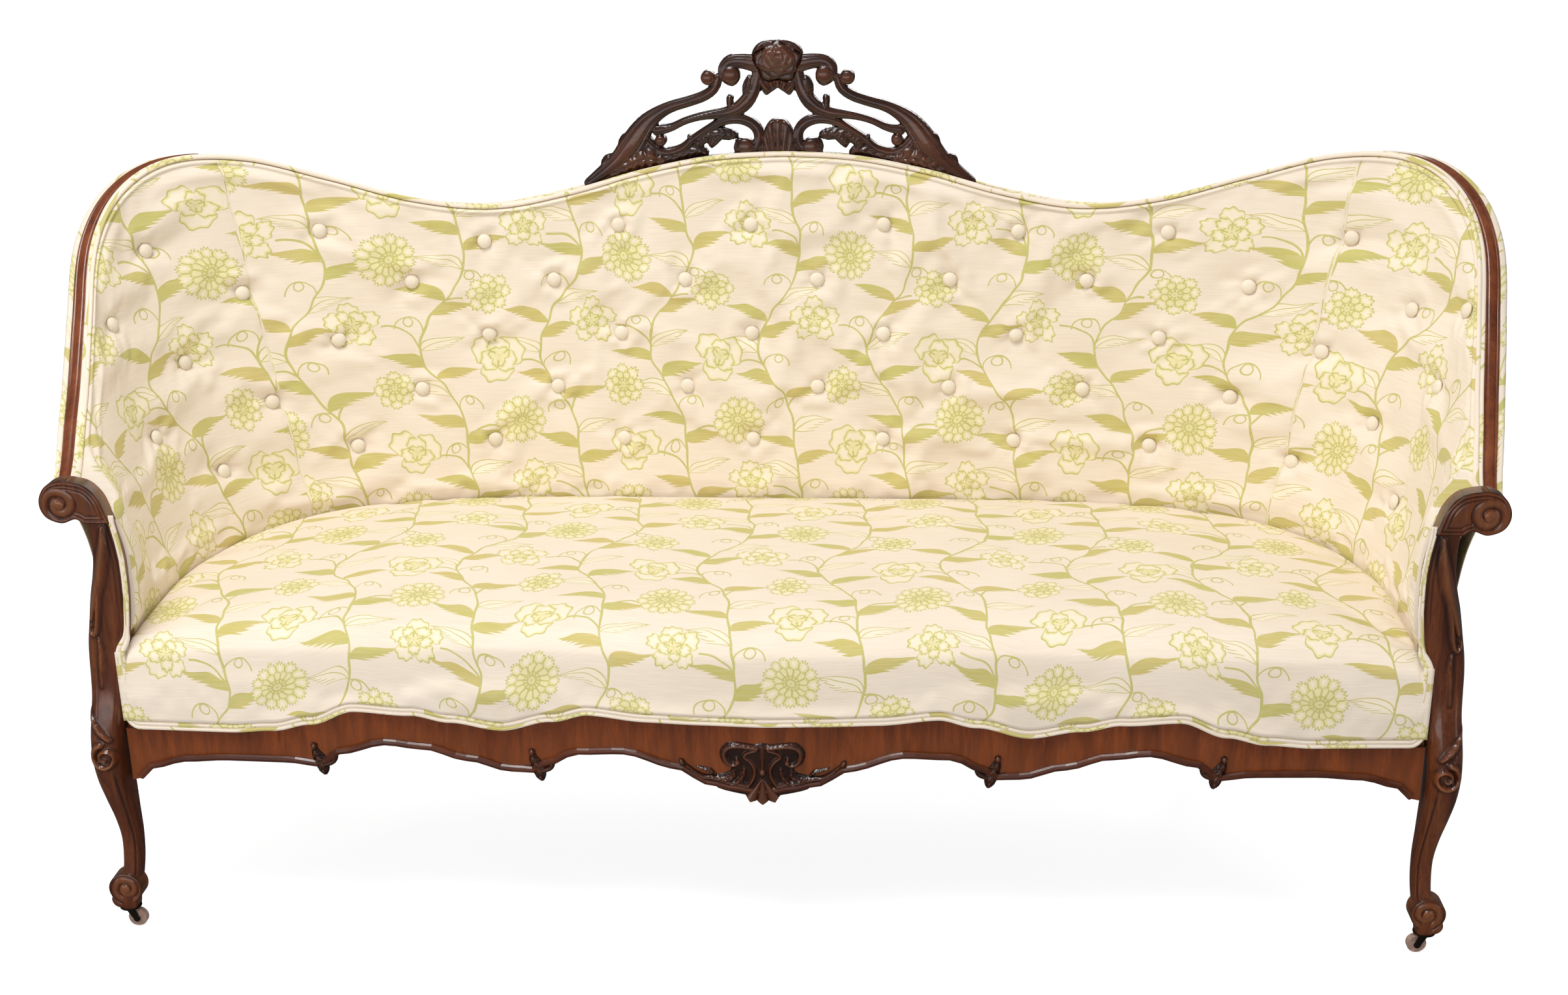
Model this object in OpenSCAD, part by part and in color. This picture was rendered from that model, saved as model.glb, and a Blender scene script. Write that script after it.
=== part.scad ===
/* [Seat] */
// Clear width between the arms at the seat
seat_w = 1714; // [1500:1:1900]
// Depth of the seat, from the front of the arm posts to the inside back
seat_d = 555; // [500:1:640]
// Height of the seat along its back edge
seat_z = 430; // [420:1:442]
// Height of the top edge of the front rail where it meets the posts
rail_z = 289; // [284:1:296]
// Height of the top of the seat rails, under the stuffing
deck_z = 360; // [352:1:366]
// Height of the underside of the side and back rails
rail_low_z = 276; // [274:1:284]

/* [Back and arms] */
// Height of the arms where they meet the scrolls
arm_z = 615; // [600:1:650]
// Height of the shoulders of the back
back_z = 984; // [930:1:1060]
// How far each side leans outwards from seat to shoulder
flare = 158; // [140:1:170]
// How far the back leans back from seat to shoulder
rake = 45; // [20:1:80]
// Thickness of the padded back and sides
wall_t = 46; // [45:0.5:52]

/* [Front posts and legs] */
// Width of the arm post at the front rail
post_w = 46; // [42:0.5:50]
// Depth of the arm post
post_d = 50; // [46:0.5:54]
// Radius of the scrolled toe
toe_r = 23; // [21:0.5:24]
// Radius of the arm scroll
scroll_r = 26; // [24:0.5:28]

/* [Back legs] */
// How far the back feet stand behind the back rail
leg_rake = 130; // [80:1:160]
// Side of the back leg at the rail
leg_w = 44; // [38:0.5:48]
// Side of the back leg at the foot
foot_w = 32; // [30:0.5:38]

/* [Front rail] */
// Depth from the front of the posts to the back of the front rail
rail_d = 34; // [30:0.5:38]
// Thickness of the veneered facing
facing_t = 8; // [6:0.5:10]
// How far the middle of the rail bows forwards
bow = 20; // [10:0.5:24]
// Radius of the bead along the lower edge
bead_r = 4.5; // [3.5:0.1:5.5]

/* [Crest] */
// Overall width of the pierced crest
crest_w = 590; // [560:1:620]
// Height of the crest above the middle of the back
crest_h = 170; // [160:1:180]
// Thickness of the crest board
crest_t = 17; // [14:0.5:17.5]

/* [Casters] */
// Radius of the caster wheel
wheel_r = 13; // [12:0.5:13.5]
// Width of the caster wheel
wheel_w = 12; // [10:0.5:13]
// Distance of the axle from the swivel pin
trail = 9; // [8:0.5:10]
// Radius of the axle
axle_r = 2; // [1.5:0.1:2.5]
// Radius of the swivel pin
stem_r = 3.5; // [3:0.1:4]

/* [Upholstery] */
// Radius of one cord of the double welt
welt_r = 3.2; // [2.8:0.1:3.4]
// Thickness of the cover cloth
cloth_t = 1.6; // [1.2:0.1:1.8]
// Radius of a tufting button
button_r = 11; // [9:0.5:12]
// Depth of the dimple under a button
tuft_h = 7; // [6:0.5:8]
// How far the stuffing swells between the buttons
puff = 5; // [3:0.5:7]
// Distance between buttons along a row
button_gap = 201; // [195:1:210]
// Distance between rows of buttons
row_gap = 83; // [76:1:86]

/* [Hidden] */

wood = [0.26, 0.11, 0.06];
dark_wood = [0.17, 0.08, 0.05];
pale_wood = [0.72, 0.56, 0.36];
cloth = [0.93, 0.89, 0.78];
jute = [0.62, 0.5, 0.33];
iron = [0.2, 0.19, 0.18];
round_fn = 48;

// Gap between separate soft layers, overrun of a cut, running fit
gap = cloth_t * 0.3;
cut = cloth_t;
run = cloth_t * 0.03;
sheet_t = cloth_t * 0.8;

// Powers of the plan of back and arms, and of the way the sides lean
plan_n = 4;
flare_n = 0.95;
seat_half = seat_w / 2;
plan_in = post_d * 0.16;
seat_b = seat_d - plan_in;

// Layers of the padded wall, outwards from the inside face
pad_t = wall_t * 0.52;
timber_in = wall_t * 0.3;
timber_out = wall_t * 0.89;
stile_in = wall_t * 0.61;
stile_out = wall_t * 0.9;
rail_in = -wall_t * 0.11;
skin_in = wall_t - cloth_t;
trim_in = wall_t * 0.22;
trim_out = wall_t * 0.7;
roll_h = wall_t * 0.15;
timber_h = wall_t * 0.76;

// The whole depth runs from the scrolled toes to the back feet
front_out = post_d * 0.82;
leg_a = 40;
leg_rho = pow(pow(sin(leg_a), plan_n) + pow(cos(leg_a), plan_n), -1 / plan_n);
leg_mid = wall_t * 0.335;
leg_in_y = plan_in + (seat_b + leg_mid) * leg_rho * cos(leg_a);
depth = front_out + leg_in_y + leg_rake + foot_w / 2;
front_y = front_out - depth / 2;
centre_y = front_y + plan_in;
leg_x = (seat_half + leg_mid) * leg_rho * sin(leg_a);
leg_y = front_y + leg_in_y;
post_back = front_y + post_d;
rail_back = front_y + rail_d;

// Height of the top edge of arms and back, as shares from arm to shoulder
edge_shares = [-0.03, 0.04, 0.157, 0.292, 0.477, 0.715, 0.88, 0.965, 0.95, 0.855, 0.757,
    0.722, 0.775, 0.858, 0.914, 0.93];
edge_step = 90 / (len(edge_shares) - 1);

function mix(a, b, t) = a + (b - a) * t;
function unit(v) = v / norm(v);
function cubic(a, b, c, d, t) =
    0.5 * (2 * b + (c - a) * t + (2 * a - 5 * b + 4 * c - d) * t * t
    + (3 * b - a - 3 * c + d) * t * t * t);
// Value at place s of a list, read as a smooth curve
function smooth(list, s) =
    let (n = len(list) - 1, q = min(max(s, 0), n), i = min(floor(q), n - 1))
    cubic(list[max(i - 1, 0)], list[i], list[i + 1], list[min(i + 2, n)], q - i);
function ease(t) = t * t * (3 - 2 * t);
// Value at x in a table of [x, value] rows, level at every row
function along(table, x) =
    let (n = len(table) - 1,
        i = min(max(len([for (row = table) if (row[0] <= x) 1]) - 1, 0), n - 1),
        t = min(max((x - table[i][0]) / (table[i + 1][0] - table[i][0]), 0), 1))
    mix(table[i][1], table[i + 1][1], ease(t));
function spread(list, steps) = [for (i = [0 : steps]) smooth(list, i * (len(list) - 1) / steps)];

// Wall of back and arms: a is the plan angle from the middle of the back
function rho(a) = pow(pow(abs(sin(a)), plan_n) + pow(abs(cos(a)), plan_n), -1 / plan_n);
function edge_at(a) = arm_z + (back_z - arm_z) * smooth(edge_shares, (90 - abs(a)) / edge_step);
function forward(a) = pow(max(0, (abs(a) - 55) / 35), 2);
// Columns of the back stay upright while those of the sides lean out
function turn(a, wide) =
    let (k = mix(seat_half / wide, 1, ease(min(max((abs(a) - 25) / 35, 0), 1))))
    atan2(sin(a) * k, cos(a));
function edge(a) = edge_at(turn(a, seat_half + flare * 0.94));
function lean(z) = max(z - seat_z, 0) / (back_z - seat_z);
function half_x(z, a) =
    let (e = lean(edge(a)), roll = 0.85 * pow(e, flare_n) * pow(min(lean(z) / e, 1.1), 4))
    seat_half + flare * mix(pow(lean(z), flare_n), roll, forward(a));
function half_y(z) = seat_b + rake * lean(z);
function wall(a, z, t) =
    let (s = t * (1 - 0.2 * forward(a)), wide = half_x(z, a), b = turn(a, wide))
    [(wide + s) * rho(b) * sin(b), centre_y + (half_y(z) + s) * rho(b) * cos(b), z];

// Columns of the wall stand a quarter of a button gap apart along its inside face
step_a = 1.5;
arc_table = [for (a = 0, total = 0; a <= 90;
    total = total + norm(wall(a + step_a, seat_z, 0) - wall(a, seat_z, 0)), a = a + step_a)
    [total, a]];
end_a = 90 - atan((post_d - plan_in + gap) / seat_b);
end_s = lookup(end_a, [for (row = arc_table) [row[1], row[0]]]);
function angle_at(s) = sign(s) * lookup(abs(s), arc_table);
col_gap = button_gap / 4;
button_shift = -col_gap;
side_cols = floor(end_s / col_gap - 0.4);
col_s = concat([-end_s], [for (i = [-side_cols : side_cols]) i * col_gap], [end_s]);
cols = [for (s = col_s) angle_at(s)];
last = len(cols) - 1;
cover_cols = concat([-90], cols, [90]);
cover_s = concat([-end_s - post_d], col_s, [end_s + post_d]);
shoulder = 47;
wing_l = [for (i = [0 : last]) if (i == 0 || cols[i - 1] < -shoulder) cols[i]];
wing_in = -wing_l[len(wing_l) - 1];
wing_r = [for (a = cols) if (a >= wing_in) a];
mid_cols = [for (a = cols) if (abs(a) <= wing_in) a];

// Rows of the wall: button rows and the rows half way between them
row_start = seat_z + row_gap * 1.12;
row_half = row_gap / 2;
row_count = 11;
row_min = row_gap * 0.03;
top_row = 9;
function plain_row(k) = row_start + (k - 1) * row_half;
// The top row of buttons bends down where the top edge dips
function row_drop(a) = max(plain_row(top_row) - edge(a) + row_gap * 0.6, 0);
function row_z(a, k) = min(plain_row(k) - row_drop(a) * min(max((k - top_row) / 2 + 1, 0), 1),
    edge(a) - roll_h * 1.4 - (row_count - k) * row_min);
function dent(s, k, a) =
    let (f = (1 + cos(360 * (s - button_shift) / button_gap) * cos(90 * (k - 1))) / 2,
        top = min(max((edge(a) - row_z(a, k)) / row_gap - 0.2, 0), 1))
    mix(max(0.35, pow(f, 2)), pow(f, 2), ease(top));
function face_t(s, k, a) = tuft_h - cloth_t - (tuft_h + puff) * (1 - dent(s, k, a));

// Triangles across a ring between two chains of points, the first ending at point p of m
function bridge(i, j, p, m) =
    let (q = m - 2 - p)
    i >= p && j >= q ? []
    : j >= q || (i < p && (i + 1) * q <= (j + 1) * p)
        ? concat([[i, i + 1, m - 1 - j]], bridge(i + 1, j, p, m))
        : concat([[i, m - 2 - j, m - 1 - j]], bridge(i, j + 1, p, m));
function total(list) = [for (k = [0 : 2]) [for (v = list) v[k]] * [for (v = list) 1]];
function flipped(face) = [face[2], face[1], face[0]];

// Closed surface through rings of equal length; split is the end of the first side of a ring
module loft(rings, split = -1) {
    n = len(rings);
    m = len(rings[0]);
    p = split < 0 ? floor((m - 1) / 2) : split;
    area = total([for (j = [0 : m - 1]) cross(rings[0][j], rings[0][(j + 1) % m])]);
    turned = area * (total(rings[1]) - total(rings[0])) > 0;
    sides = [for (i = [0 : n - 2], j = [0 : m - 1])
        let (a = i * m + j, b = i * m + (j + 1) % m)
        each j <= p ? [[a, b, b + m], [a, b + m, a + m]] : [[a, b, a + m], [b, b + m, a + m]]];
    ends = bridge(0, 0, p, m);
    start = [for (face = ends) flipped(face)];
    finish = [for (face = ends) [for (k = face) k + (n - 1) * m]];
    faces = concat(sides, start, finish);
    polyhedron([for (r = rings) each r], turned ? [for (face = faces) flipped(face)] : faces,
        convexity = 6);
}

// Rod of any section along a path; ref is the side the section's first axis turns to
module sweep(path, section, ref) {
    n = len(path) - 1;
    loft([for (i = [0 : n])
        let (way = unit(path[min(i + 1, n)] - path[max(i - 1, 0)]),
            side = unit(ref - way * (ref * way)), third = cross(way, side))
        [for (q = section) path[i] + side * q[0] + third * q[1]]]);
}
// Flat band along a plane curve: width is given at each point
function band(path, widths) =
    let (n = len(path) - 1,
        sides = [for (i = [0 : n]) let (d = unit(path[min(i + 1, n)] - path[max(i - 1, 0)]))
            [-d[1], d[0]]])
    concat([for (i = [0 : n]) path[i] + sides[i] * widths[i] / 2],
        [for (i = [n : -1 : 0]) path[i] - sides[i] * widths[i] / 2]);
module mirrored(side) {
    if (side > 0)
        children();
    else
        mirror([1, 0, 0])
            children();
}

// Front posts and legs, drawn for the right side
caster_z = wheel_r * 2.4;
post_top = arm_z - scroll_r * 1.16;
leg_h = deck_z - caster_z;
// Height share, inner and outer edge as shares of post_w from the seat side, front and back
post_low = [[0, 0.28, 0.83, 0.78, -0.2], [0.057, 0.24, 0.78, 0.78, -0.12],
    [0.133, 0.16, 0.7, 0.66, 0.04], [0.21, 0.13, 0.67, 0.52, 0.18], [0.3, 0.15, 0.7, 0.4, 0.32],
    [0.39, 0.22, 0.83, 0.4, 0.48], [0.483, 0.28, 1.02, 0.46, 0.64], [0.574, 0.33, 1.17, 0.54, 0.76],
    [0.666, 0.33, 1.24, 0.58, 0.86], [0.757, 0.28, 1.24, 0.52, 0.92], [0.848, 0.22, 1.2, 0.36, 0.96],
    [0.924, 0.2, 1.17, 0.18, 1], [1, 0.15, 1.17, 0.06, 1]];
post_high = [[0.13, 0.02, 1.16, 0, 1], [0.24, -0.1, 1.11, 0, 1], [0.37, -0.2, 1, 0, 1],
    [0.53, -0.28, 0.85, 0, 0.9], [0.66, -0.3, 0.69, 0, 0.78], [0.77, -0.3, 0.59, 0, 0.66],
    [0.886, -0.24, 0.56, 0, 0.54], [1, -0.15, 0.59, 0, 0.45]];
function post_row(row, z) = [z, seat_half + post_w * row[1], seat_half + post_w * row[2],
    front_y - post_d * row[3], front_y + post_d * row[4]];
post_table = concat([for (r = post_low) post_row(r, caster_z + leg_h * r[0])],
    [for (r = post_high) post_row(r, deck_z + (post_top - deck_z) * r[0])]);
function squircle(x0, x1, y0, y1, z, n) = [for (i = [0 : n - 1])
    let (a = 360 * i / n, c = cos(a), s = sin(a))
    [(x0 + x1) / 2 + (x1 - x0) / 2 * sign(c) * pow(abs(c), 0.6),
        (y0 + y1) / 2 + (y1 - y0) / 2 * sign(s) * pow(abs(s), 0.6), z]];
function post_ring(s) = let (v = smooth(post_table, s)) squircle(v[1], v[2], v[3], v[4], v[0], 20);
stem_x = seat_half + post_w * 0.55;
stem_y = front_y - post_d * 0.54;
socket_r = stem_r + post_w * 0.05;
socket_h = wheel_r * 2.4;
toe_x = stem_x + toe_r * 0.04;
toe_z = caster_z + toe_r * 1.25;
scroll_x = seat_half + post_w * 1.24;
scroll_z = post_top + scroll_r * 1.04;
post_side = seat_half + post_w * 0.2;
corner_z = seat_z - wall_t * 0.52;
dowel_r = facing_t * 0.6;
dowel_l = post_w;
dowel_y = front_y + rail_d * 0.66;
dowel_zs = [rail_z * 1.03, deck_z * 0.93];
side_dowel_x = seat_half + wall_t * 0.46;
// Room in the posts and scrolls for the front ends of the inside cover
module cover_room() {
    t = tuft_h + gap * 5;
    flap = trim_in + gap * 5;
    rings = [for (a = [end_a - 1, end_a, 90]) let (e = edge(a))
        [for (q = concat([[t, deck_z], [t, seat_z]], [for (f = [0.33, 0.66]) [t, plain_z(a, f)]],
            [[t, e - roll_h * 1.5], [flap, e - roll_h * 1.3], [flap, e + roll_h * 0.3],
                [-wall_t * 2, e + roll_h * 0.3], [-wall_t * 2, e - roll_h]],
            [for (f = [0.66, 0.33, 0]) [-wall_t * 2, plain_z(a, f)]], [[-wall_t * 2, deck_z]]))
            wall(a, q[1], q[0])]];
    loft(concat(rings, [[for (p = rings[2]) p - [0, gap, 0]]]), 6);
}
module front_post(side) {
    steps = 36;
    color(wood)
        mirrored(side)
            difference() {
                union() {
                    difference() {
                        loft([for (i = [0 : steps]) post_ring(i * (len(post_table) - 1) / steps)]);
                        translate([seat_half - post_w, front_y - post_d, rail_low(seat_half)])
                            cube([post_w + post_side - seat_half, post_d * 3,
                                corner_z - rail_low(seat_half)]);
                        cover_room();
                    }
                    translate([post_side, front_y - post_d * 0.1, rail_low(seat_half)])
                        cube([post_w * 0.5, rail_d, deck_z - rail_low(seat_half)]);
                    translate([toe_x, front_y - post_d * 0.74, toe_z])
                        rotate([-90, 0, 0])
                            cylinder(r = toe_r, h = post_d * 0.54, $fn = round_fn);
                    translate([toe_x, front_y - front_out, toe_z])
                        rotate([-90, 0, 0])
                            cylinder(r = toe_r / 2, h = post_d * 0.2, $fn = round_fn);
                }
                translate([stem_x, stem_y, caster_z - cut])
                    cylinder(r = socket_r, h = socket_h + cut, $fn = round_fn);
                for (z = dowel_zs)
                    translate([post_side - cut, dowel_y, z])
                        rotate([0, 90, 0])
                            cylinder(r = dowel_r, h = dowel_l / 2 + cut, $fn = round_fn);
                for (z = dowel_zs)
                    translate([side_dowel_x, post_back - dowel_l / 3, z])
                        rotate([-90, 0, 0])
                            cylinder(r = dowel_r, h = dowel_l, $fn = round_fn);
            }
}
module front_post_left() front_post(-1);
module front_post_right() front_post(1);

// Arm scrolls: the post's inner edge runs round into a volute
scroll_shares = [[-2.46, -1.04], [-2.31, -0.58], [-2, 0.31], [-1.42, 0.96], [-0.62, 1.2], [0.08, 1.2],
    [0.68, 0.9], [1.02, 0.3], [1.02, -0.3], [0.7, -0.78], [0, -1.02], [-0.7, -0.8], [-1.1, -1.04]];
neck_d = post_d * 0.44;
drum_shares = [[0, -1], [0.86, -1], [0.88, 0.04], [0.8, 0.14], [0.7, 0.14], [0.64, 0.03], [0.36, 0.03],
    [0.32, 0.12], [0.16, 0.2], [0, 0.22]];
module arm_scroll(side) {
    outline = [for (q = spread(scroll_shares, 36)) scroll_r * q];
    color(wood)
        mirrored(side)
            difference() {
                union() {
                    translate([scroll_x, front_y + neck_d, scroll_z])
                        rotate([90, 0, 0])
                            linear_extrude(neck_d)
                                polygon(outline);
                    translate([scroll_x, front_y, scroll_z])
                        rotate([90, 0, 0])
                            rotate_extrude($fn = round_fn)
                                polygon([for (q = drum_shares) [scroll_r * q[0], q[1] < 0
                                    ? post_d * q[1] : scroll_r * q[1]]]);
                }
                cover_room();
            }
}
module arm_scroll_left() arm_scroll(-1);
module arm_scroll_right() arm_scroll(1);

// Front rail: bowed in plan, waved along both edges
bow_shares = [1, 0.92, 0.66, 0.3, 0.1, 0.12, 0.36, 0.42, 0.26, 0.1, 0];
function rail_y(x) = front_y - bow * smooth(bow_shares, abs(x) / seat_half * (len(bow_shares) - 1));
wave = rail_z - rail_low_z + post_w * 0.3;
// Share of the half width, height from rail_z in shares of wave
top_shares = [[0, 0.97], [0.09, 1.02], [0.18, 1.06], [0.27, 1.27], [0.33, 0.82], [0.41, 0.25],
    [0.49, 0.65], [0.55, 1.05], [0.64, 1.29], [0.71, 0.54], [0.77, 0.14], [0.84, -0.03], [1, 0]];
low_shares = [[0, -2.75], [0.045, -2.5], [0.085, -2.23], [0.135, -1.42], [0.217, -0.75],
    [0.29, -0.9], [0.34, -1.6], [0.354, -2.03], [0.4, -2], [0.467, -1.45], [0.537, -0.8],
    [0.595, -0.54], [0.665, -1.05], [0.698, -1.78], [0.75, -1.6], [0.85, -1.6], [0.92, -1.75],
    [0.97, -2.15], [1, -2.9]];
function rail_top(x) = rail_z + wave * along(top_shares, abs(x) / seat_half);
function rail_low(x) = rail_z + wave * along(low_shares, abs(x) / seat_half);
rail_steps = 112;
rail_xs = [for (i = [0 : rail_steps]) post_side * (2 * i / rail_steps - 1)];
module rail_slab(front, back) {
    linear_extrude(deck_z)
        polygon(concat([for (x = rail_xs) [x, rail_y(x) + front]],
            [[post_side, back], [-post_side, back]]));
}
module elevation(lows, highs) {
    translate([0, rail_back + cut, 0])
        rotate([90, 0, 0])
            linear_extrude(post_d * 3)
                polygon(concat(lows, highs));
}
module front_rail() {
    lows = [for (x = rail_xs) [x, rail_low(x)]];
    color(wood)
        difference() {
            union() {
                intersection() {
                    rail_slab(facing_t, rail_back);
                    elevation(lows, [[post_side, deck_z], [-post_side, deck_z]]);
                }
                intersection() {
                    rail_slab(0, front_y + facing_t * 2);
                    elevation(lows, [for (i = [rail_steps : -1 : 0]) [rail_xs[i], rail_top(rail_xs[i])]]);
                }
            }
            for (z = dowel_zs)
                for (side = [-1, 1])
                    translate([side * (post_side - dowel_l / 4), dowel_y, z])
                        rotate([0, 90, 0])
                            cylinder(r = dowel_r, h = dowel_l * 0.6, center = true, $fn = round_fn);
        }
}
bead_path = [for (x = rail_xs) if (abs(x) < post_side - bead_r) [x, rail_y(x), rail_low(x)]];
bead_section = [for (q = [[-0.1, 0], [-0.1, 1.9], [0.4, 2.1], [1, 1.7], [1.2, 1], [1, 0.3],
    [0.4, -0.1]]) [q[0] * bead_r + bead_r * 0.22, -bead_r * q[1]]];
module bead_body() {
    sweep(bead_path, bead_section, [0, -1, 0]);
}
module apron_bead() {
    color(dark_wood)
        bead_body();
}
shell_w = post_w * 2;
shell_h = shell_w * 0.66;
// Half outline of the carved shell, from the top middle to the point below
shell_shares = [[0, 0.86], [0.12, 1], [0.28, 0.9], [0.36, 0.98], [0.6, 0.96], [0.66, 0.8],
    [0.9, 0.84], [1, 0.62], [0.84, 0.44], [0.56, 0.4], [0.62, 0.2], [0.42, 0], [0.2, -0.06]];
module apron_shell() {
    n = len(shell_shares) - 1;
    half = spread(shell_shares, n * 3);
    m = len(half) - 1;
    color(dark_wood)
        difference() {
            translate([0, rail_y(0), rail_low(0) + shell_h * 0.04])
                rotate([90, 0, 0])
                    difference() {
                        union() {
                            linear_extrude(bead_r * 1.6)
                                polygon(concat([for (q = half) [q[0] * shell_w / 2, q[1] * shell_h]],
                                    [for (i = [m : -1 : 1])
                                        [-half[i][0] * shell_w / 2, half[i][1] * shell_h]]));
                            for (i = [-3 : 3])
                                translate([0, shell_h * 0.06, 0])
                                    rotate([0, 0, i * 17])
                                        translate([0, shell_h * 0.34, bead_r * 1.3])
                                            rotate([-90, 0, 0])
                                                cylinder(r1 = bead_r * 0.3, r2 = bead_r,
                                                    h = shell_h * 0.34, center = true, $fn = 24);
                            translate([0, shell_h * 0.1, 0])
                                cylinder(r = bead_r * 1.8, h = bead_r * 2.4, $fn = round_fn);
                        }
                        translate([-shell_w, -shell_w, -shell_w])
                            cube([shell_w * 2, shell_w * 2, shell_w]);
                    }
            bead_body();
        }
}
drop_shares = [0.354, 0.698];
module apron_drops() {
    color(dark_wood)
        difference() {
            for (share = drop_shares)
                for (side = [-1, 1])
                    translate([side * share * seat_half, rail_y(share * seat_half) - bead_r * 1.3,
                        rail_low(share * seat_half) - bead_r * 0.9])
                        rotate_extrude($fn = round_fn)
                            polygon([for (q = [[0, -1.9], [0.5, -1.6], [0.9, -0.9], [1.1, 0],
                                [0.8, 0.9], [0.5, 1.3], [0.8, 1.6], [0.6, 1.9], [0, 1.9]]) bead_r * q]);
            bead_body();
        }
}

// Seat rails under the walls
module wall_band(list, z0, z1, t0, t1) {
    n = len(list) - 1;
    translate([0, 0, z0])
        linear_extrude(z1 - z0)
            polygon(concat([for (a = list) let (p = wall(a, seat_z, t1)) [p[0], p[1]]],
                [for (i = [n : -1 : 0]) let (p = wall(list[i], seat_z, t0)) [p[0], p[1]]]));
}
leg_span = 7;
module side_rail(side) {
    list = [for (a = cols) if (a * side > leg_a - leg_span) a];
    color(pale_wood)
        difference() {
            wall_band(list, rail_low_z, deck_z, rail_in, skin_in);
            translate([0, leg_y, deck_z / 2])
                cube([leg_x * 2 + leg_w, leg_w * 6, deck_z * 2], center = true);
            for (z = dowel_zs)
                translate([side * side_dowel_x, post_back - dowel_l / 3, z])
                    rotate([-90, 0, 0])
                        cylinder(r = dowel_r, h = dowel_l, $fn = round_fn);
            screw_at(side, 0)
                cylinder(r = screw_r, h = screw_l, $fn = round_fn);
        }
}
module side_rail_left() side_rail(-1);
module side_rail_right() side_rail(1);
module back_rail() {
    list = [for (a = cols) if (abs(a) < leg_a + leg_span) a];
    color(pale_wood)
        difference() {
            wall_band(list, rail_low_z, deck_z, rail_in, skin_in);
            for (side = [-1, 1])
                translate([side * (leg_x + leg_w * 2), leg_y, deck_z / 2])
                    cube([leg_w * 5, leg_w * 8, deck_z * 2], center = true);
        }
}

// Back legs run on above the seat as stiles up to the top rail
stile_w = 2;
function rect(x, y, z, w) = [[x - w, y - w, z], [x + w, y - w, z], [x + w, y + w, z], [x - w, y + w, z]];
module back_leg(side) {
    steps = 10;
    low = rail_low_z - caster_z;
    color(wood)
        mirrored(side)
            difference() {
                union() {
                    loft(concat([for (i = [0 : steps]) let (q = 1 - i / steps)
                        rect(leg_x + leg_rake * 0.12 * pow(q, 1.6), leg_y + leg_rake * pow(q, 1.6),
                            caster_z + low * i / steps, mix(leg_w, foot_w, q) / 2)],
                        [rect(leg_x, leg_y, deck_z, leg_w / 2)]));
                    stile(leg_a);
                }
                translate([leg_x + leg_rake * 0.12, leg_y + leg_rake, caster_z - cut])
                    cylinder(r = socket_r, h = socket_h + cut, $fn = round_fn);
            }
}
module stile(a) {
    top = min(edge(a - stile_w), edge(a + stile_w)) - rail_drop - timber_h - gap;
    loft([for (z = concat([deck_z], [for (i = [0 : 4]) mix(seat_z, top, i / 4)]))
        [wall(a - stile_w, z, stile_in), wall(a + stile_w, z, stile_in),
            wall(a + stile_w, z, stile_out), wall(a - stile_w, z, stile_out)]]);
}
module back_leg_left() back_leg(-1);
module back_leg_right() back_leg(1);
upright_as = [9, 26];
module back_uprights() {
    color(pale_wood)
        for (a = upright_as) {
            stile(a);
            mirror([1, 0, 0])
                stile(a);
        }
}

// Rails along the top of back and arms; the show wood and the rail under it are drawn finely
finer = 3;
function fine(list) = [for (i = [0 : (len(list) - 1) * finer])
    let (k = min(floor(i / finer), len(list) - 2)) mix(list[k], list[k + 1], i / finer - k)];
rail_drop = roll_h * 1.3;
trim_low = wall_t * 0.13;
module top_timber(list, drop) {
    color(pale_wood)
        loft([for (a = list) let (z = edge(a) - drop)
            [wall(a, z, timber_in), wall(a, z - timber_h, timber_in),
                wall(a, z - timber_h, timber_out), wall(a, z, timber_out)]]);
}
module top_rail() {
    difference() {
        top_timber(mid_cols, rail_drop);
        translate([crest_x, crest_y, 0])
            crest_pegs();
    }
}
module wing_rail_left() top_timber(fine(wing_l), trim_low + gap / 2);
module wing_rail_right() top_timber(fine(wing_r), trim_low + gap / 2);
// Outline of the show-wood moulding as shares of the wall thickness from its inner edge
trim_shares = [[0, -0.13], [0.48, -0.13], [0.48, -0.04], [0.45, 0.03], [0.4, 0.05], [0.37, 0.02],
    [0.3, 0.09], [0.18, 0.09], [0.11, 0.02], [0.08, 0.05], [0.03, 0.03], [0, -0.04]];
module wing_moulding(list) {
    color(wood)
        loft([for (a = fine(list)) [for (q = trim_shares)
            wall(a, edge(a) + wall_t * q[1], trim_in + wall_t * q[0])]], 1);
}
module wing_moulding_left() wing_moulding(wing_l);
module wing_moulding_right() wing_moulding(wing_r);

// Crest: rose, scrolls and leaves in one pierced board
crest_half = crest_w / 2;
crest_mid = trim_in + cloth_t * 0.6 + crest_t / 2;
crest_base = edge(0);
crest_x = -crest_w * 0.013;
crest_y = wall(0, crest_base, crest_mid)[1];
crest_bottom = roll_h * 0.55;
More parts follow.
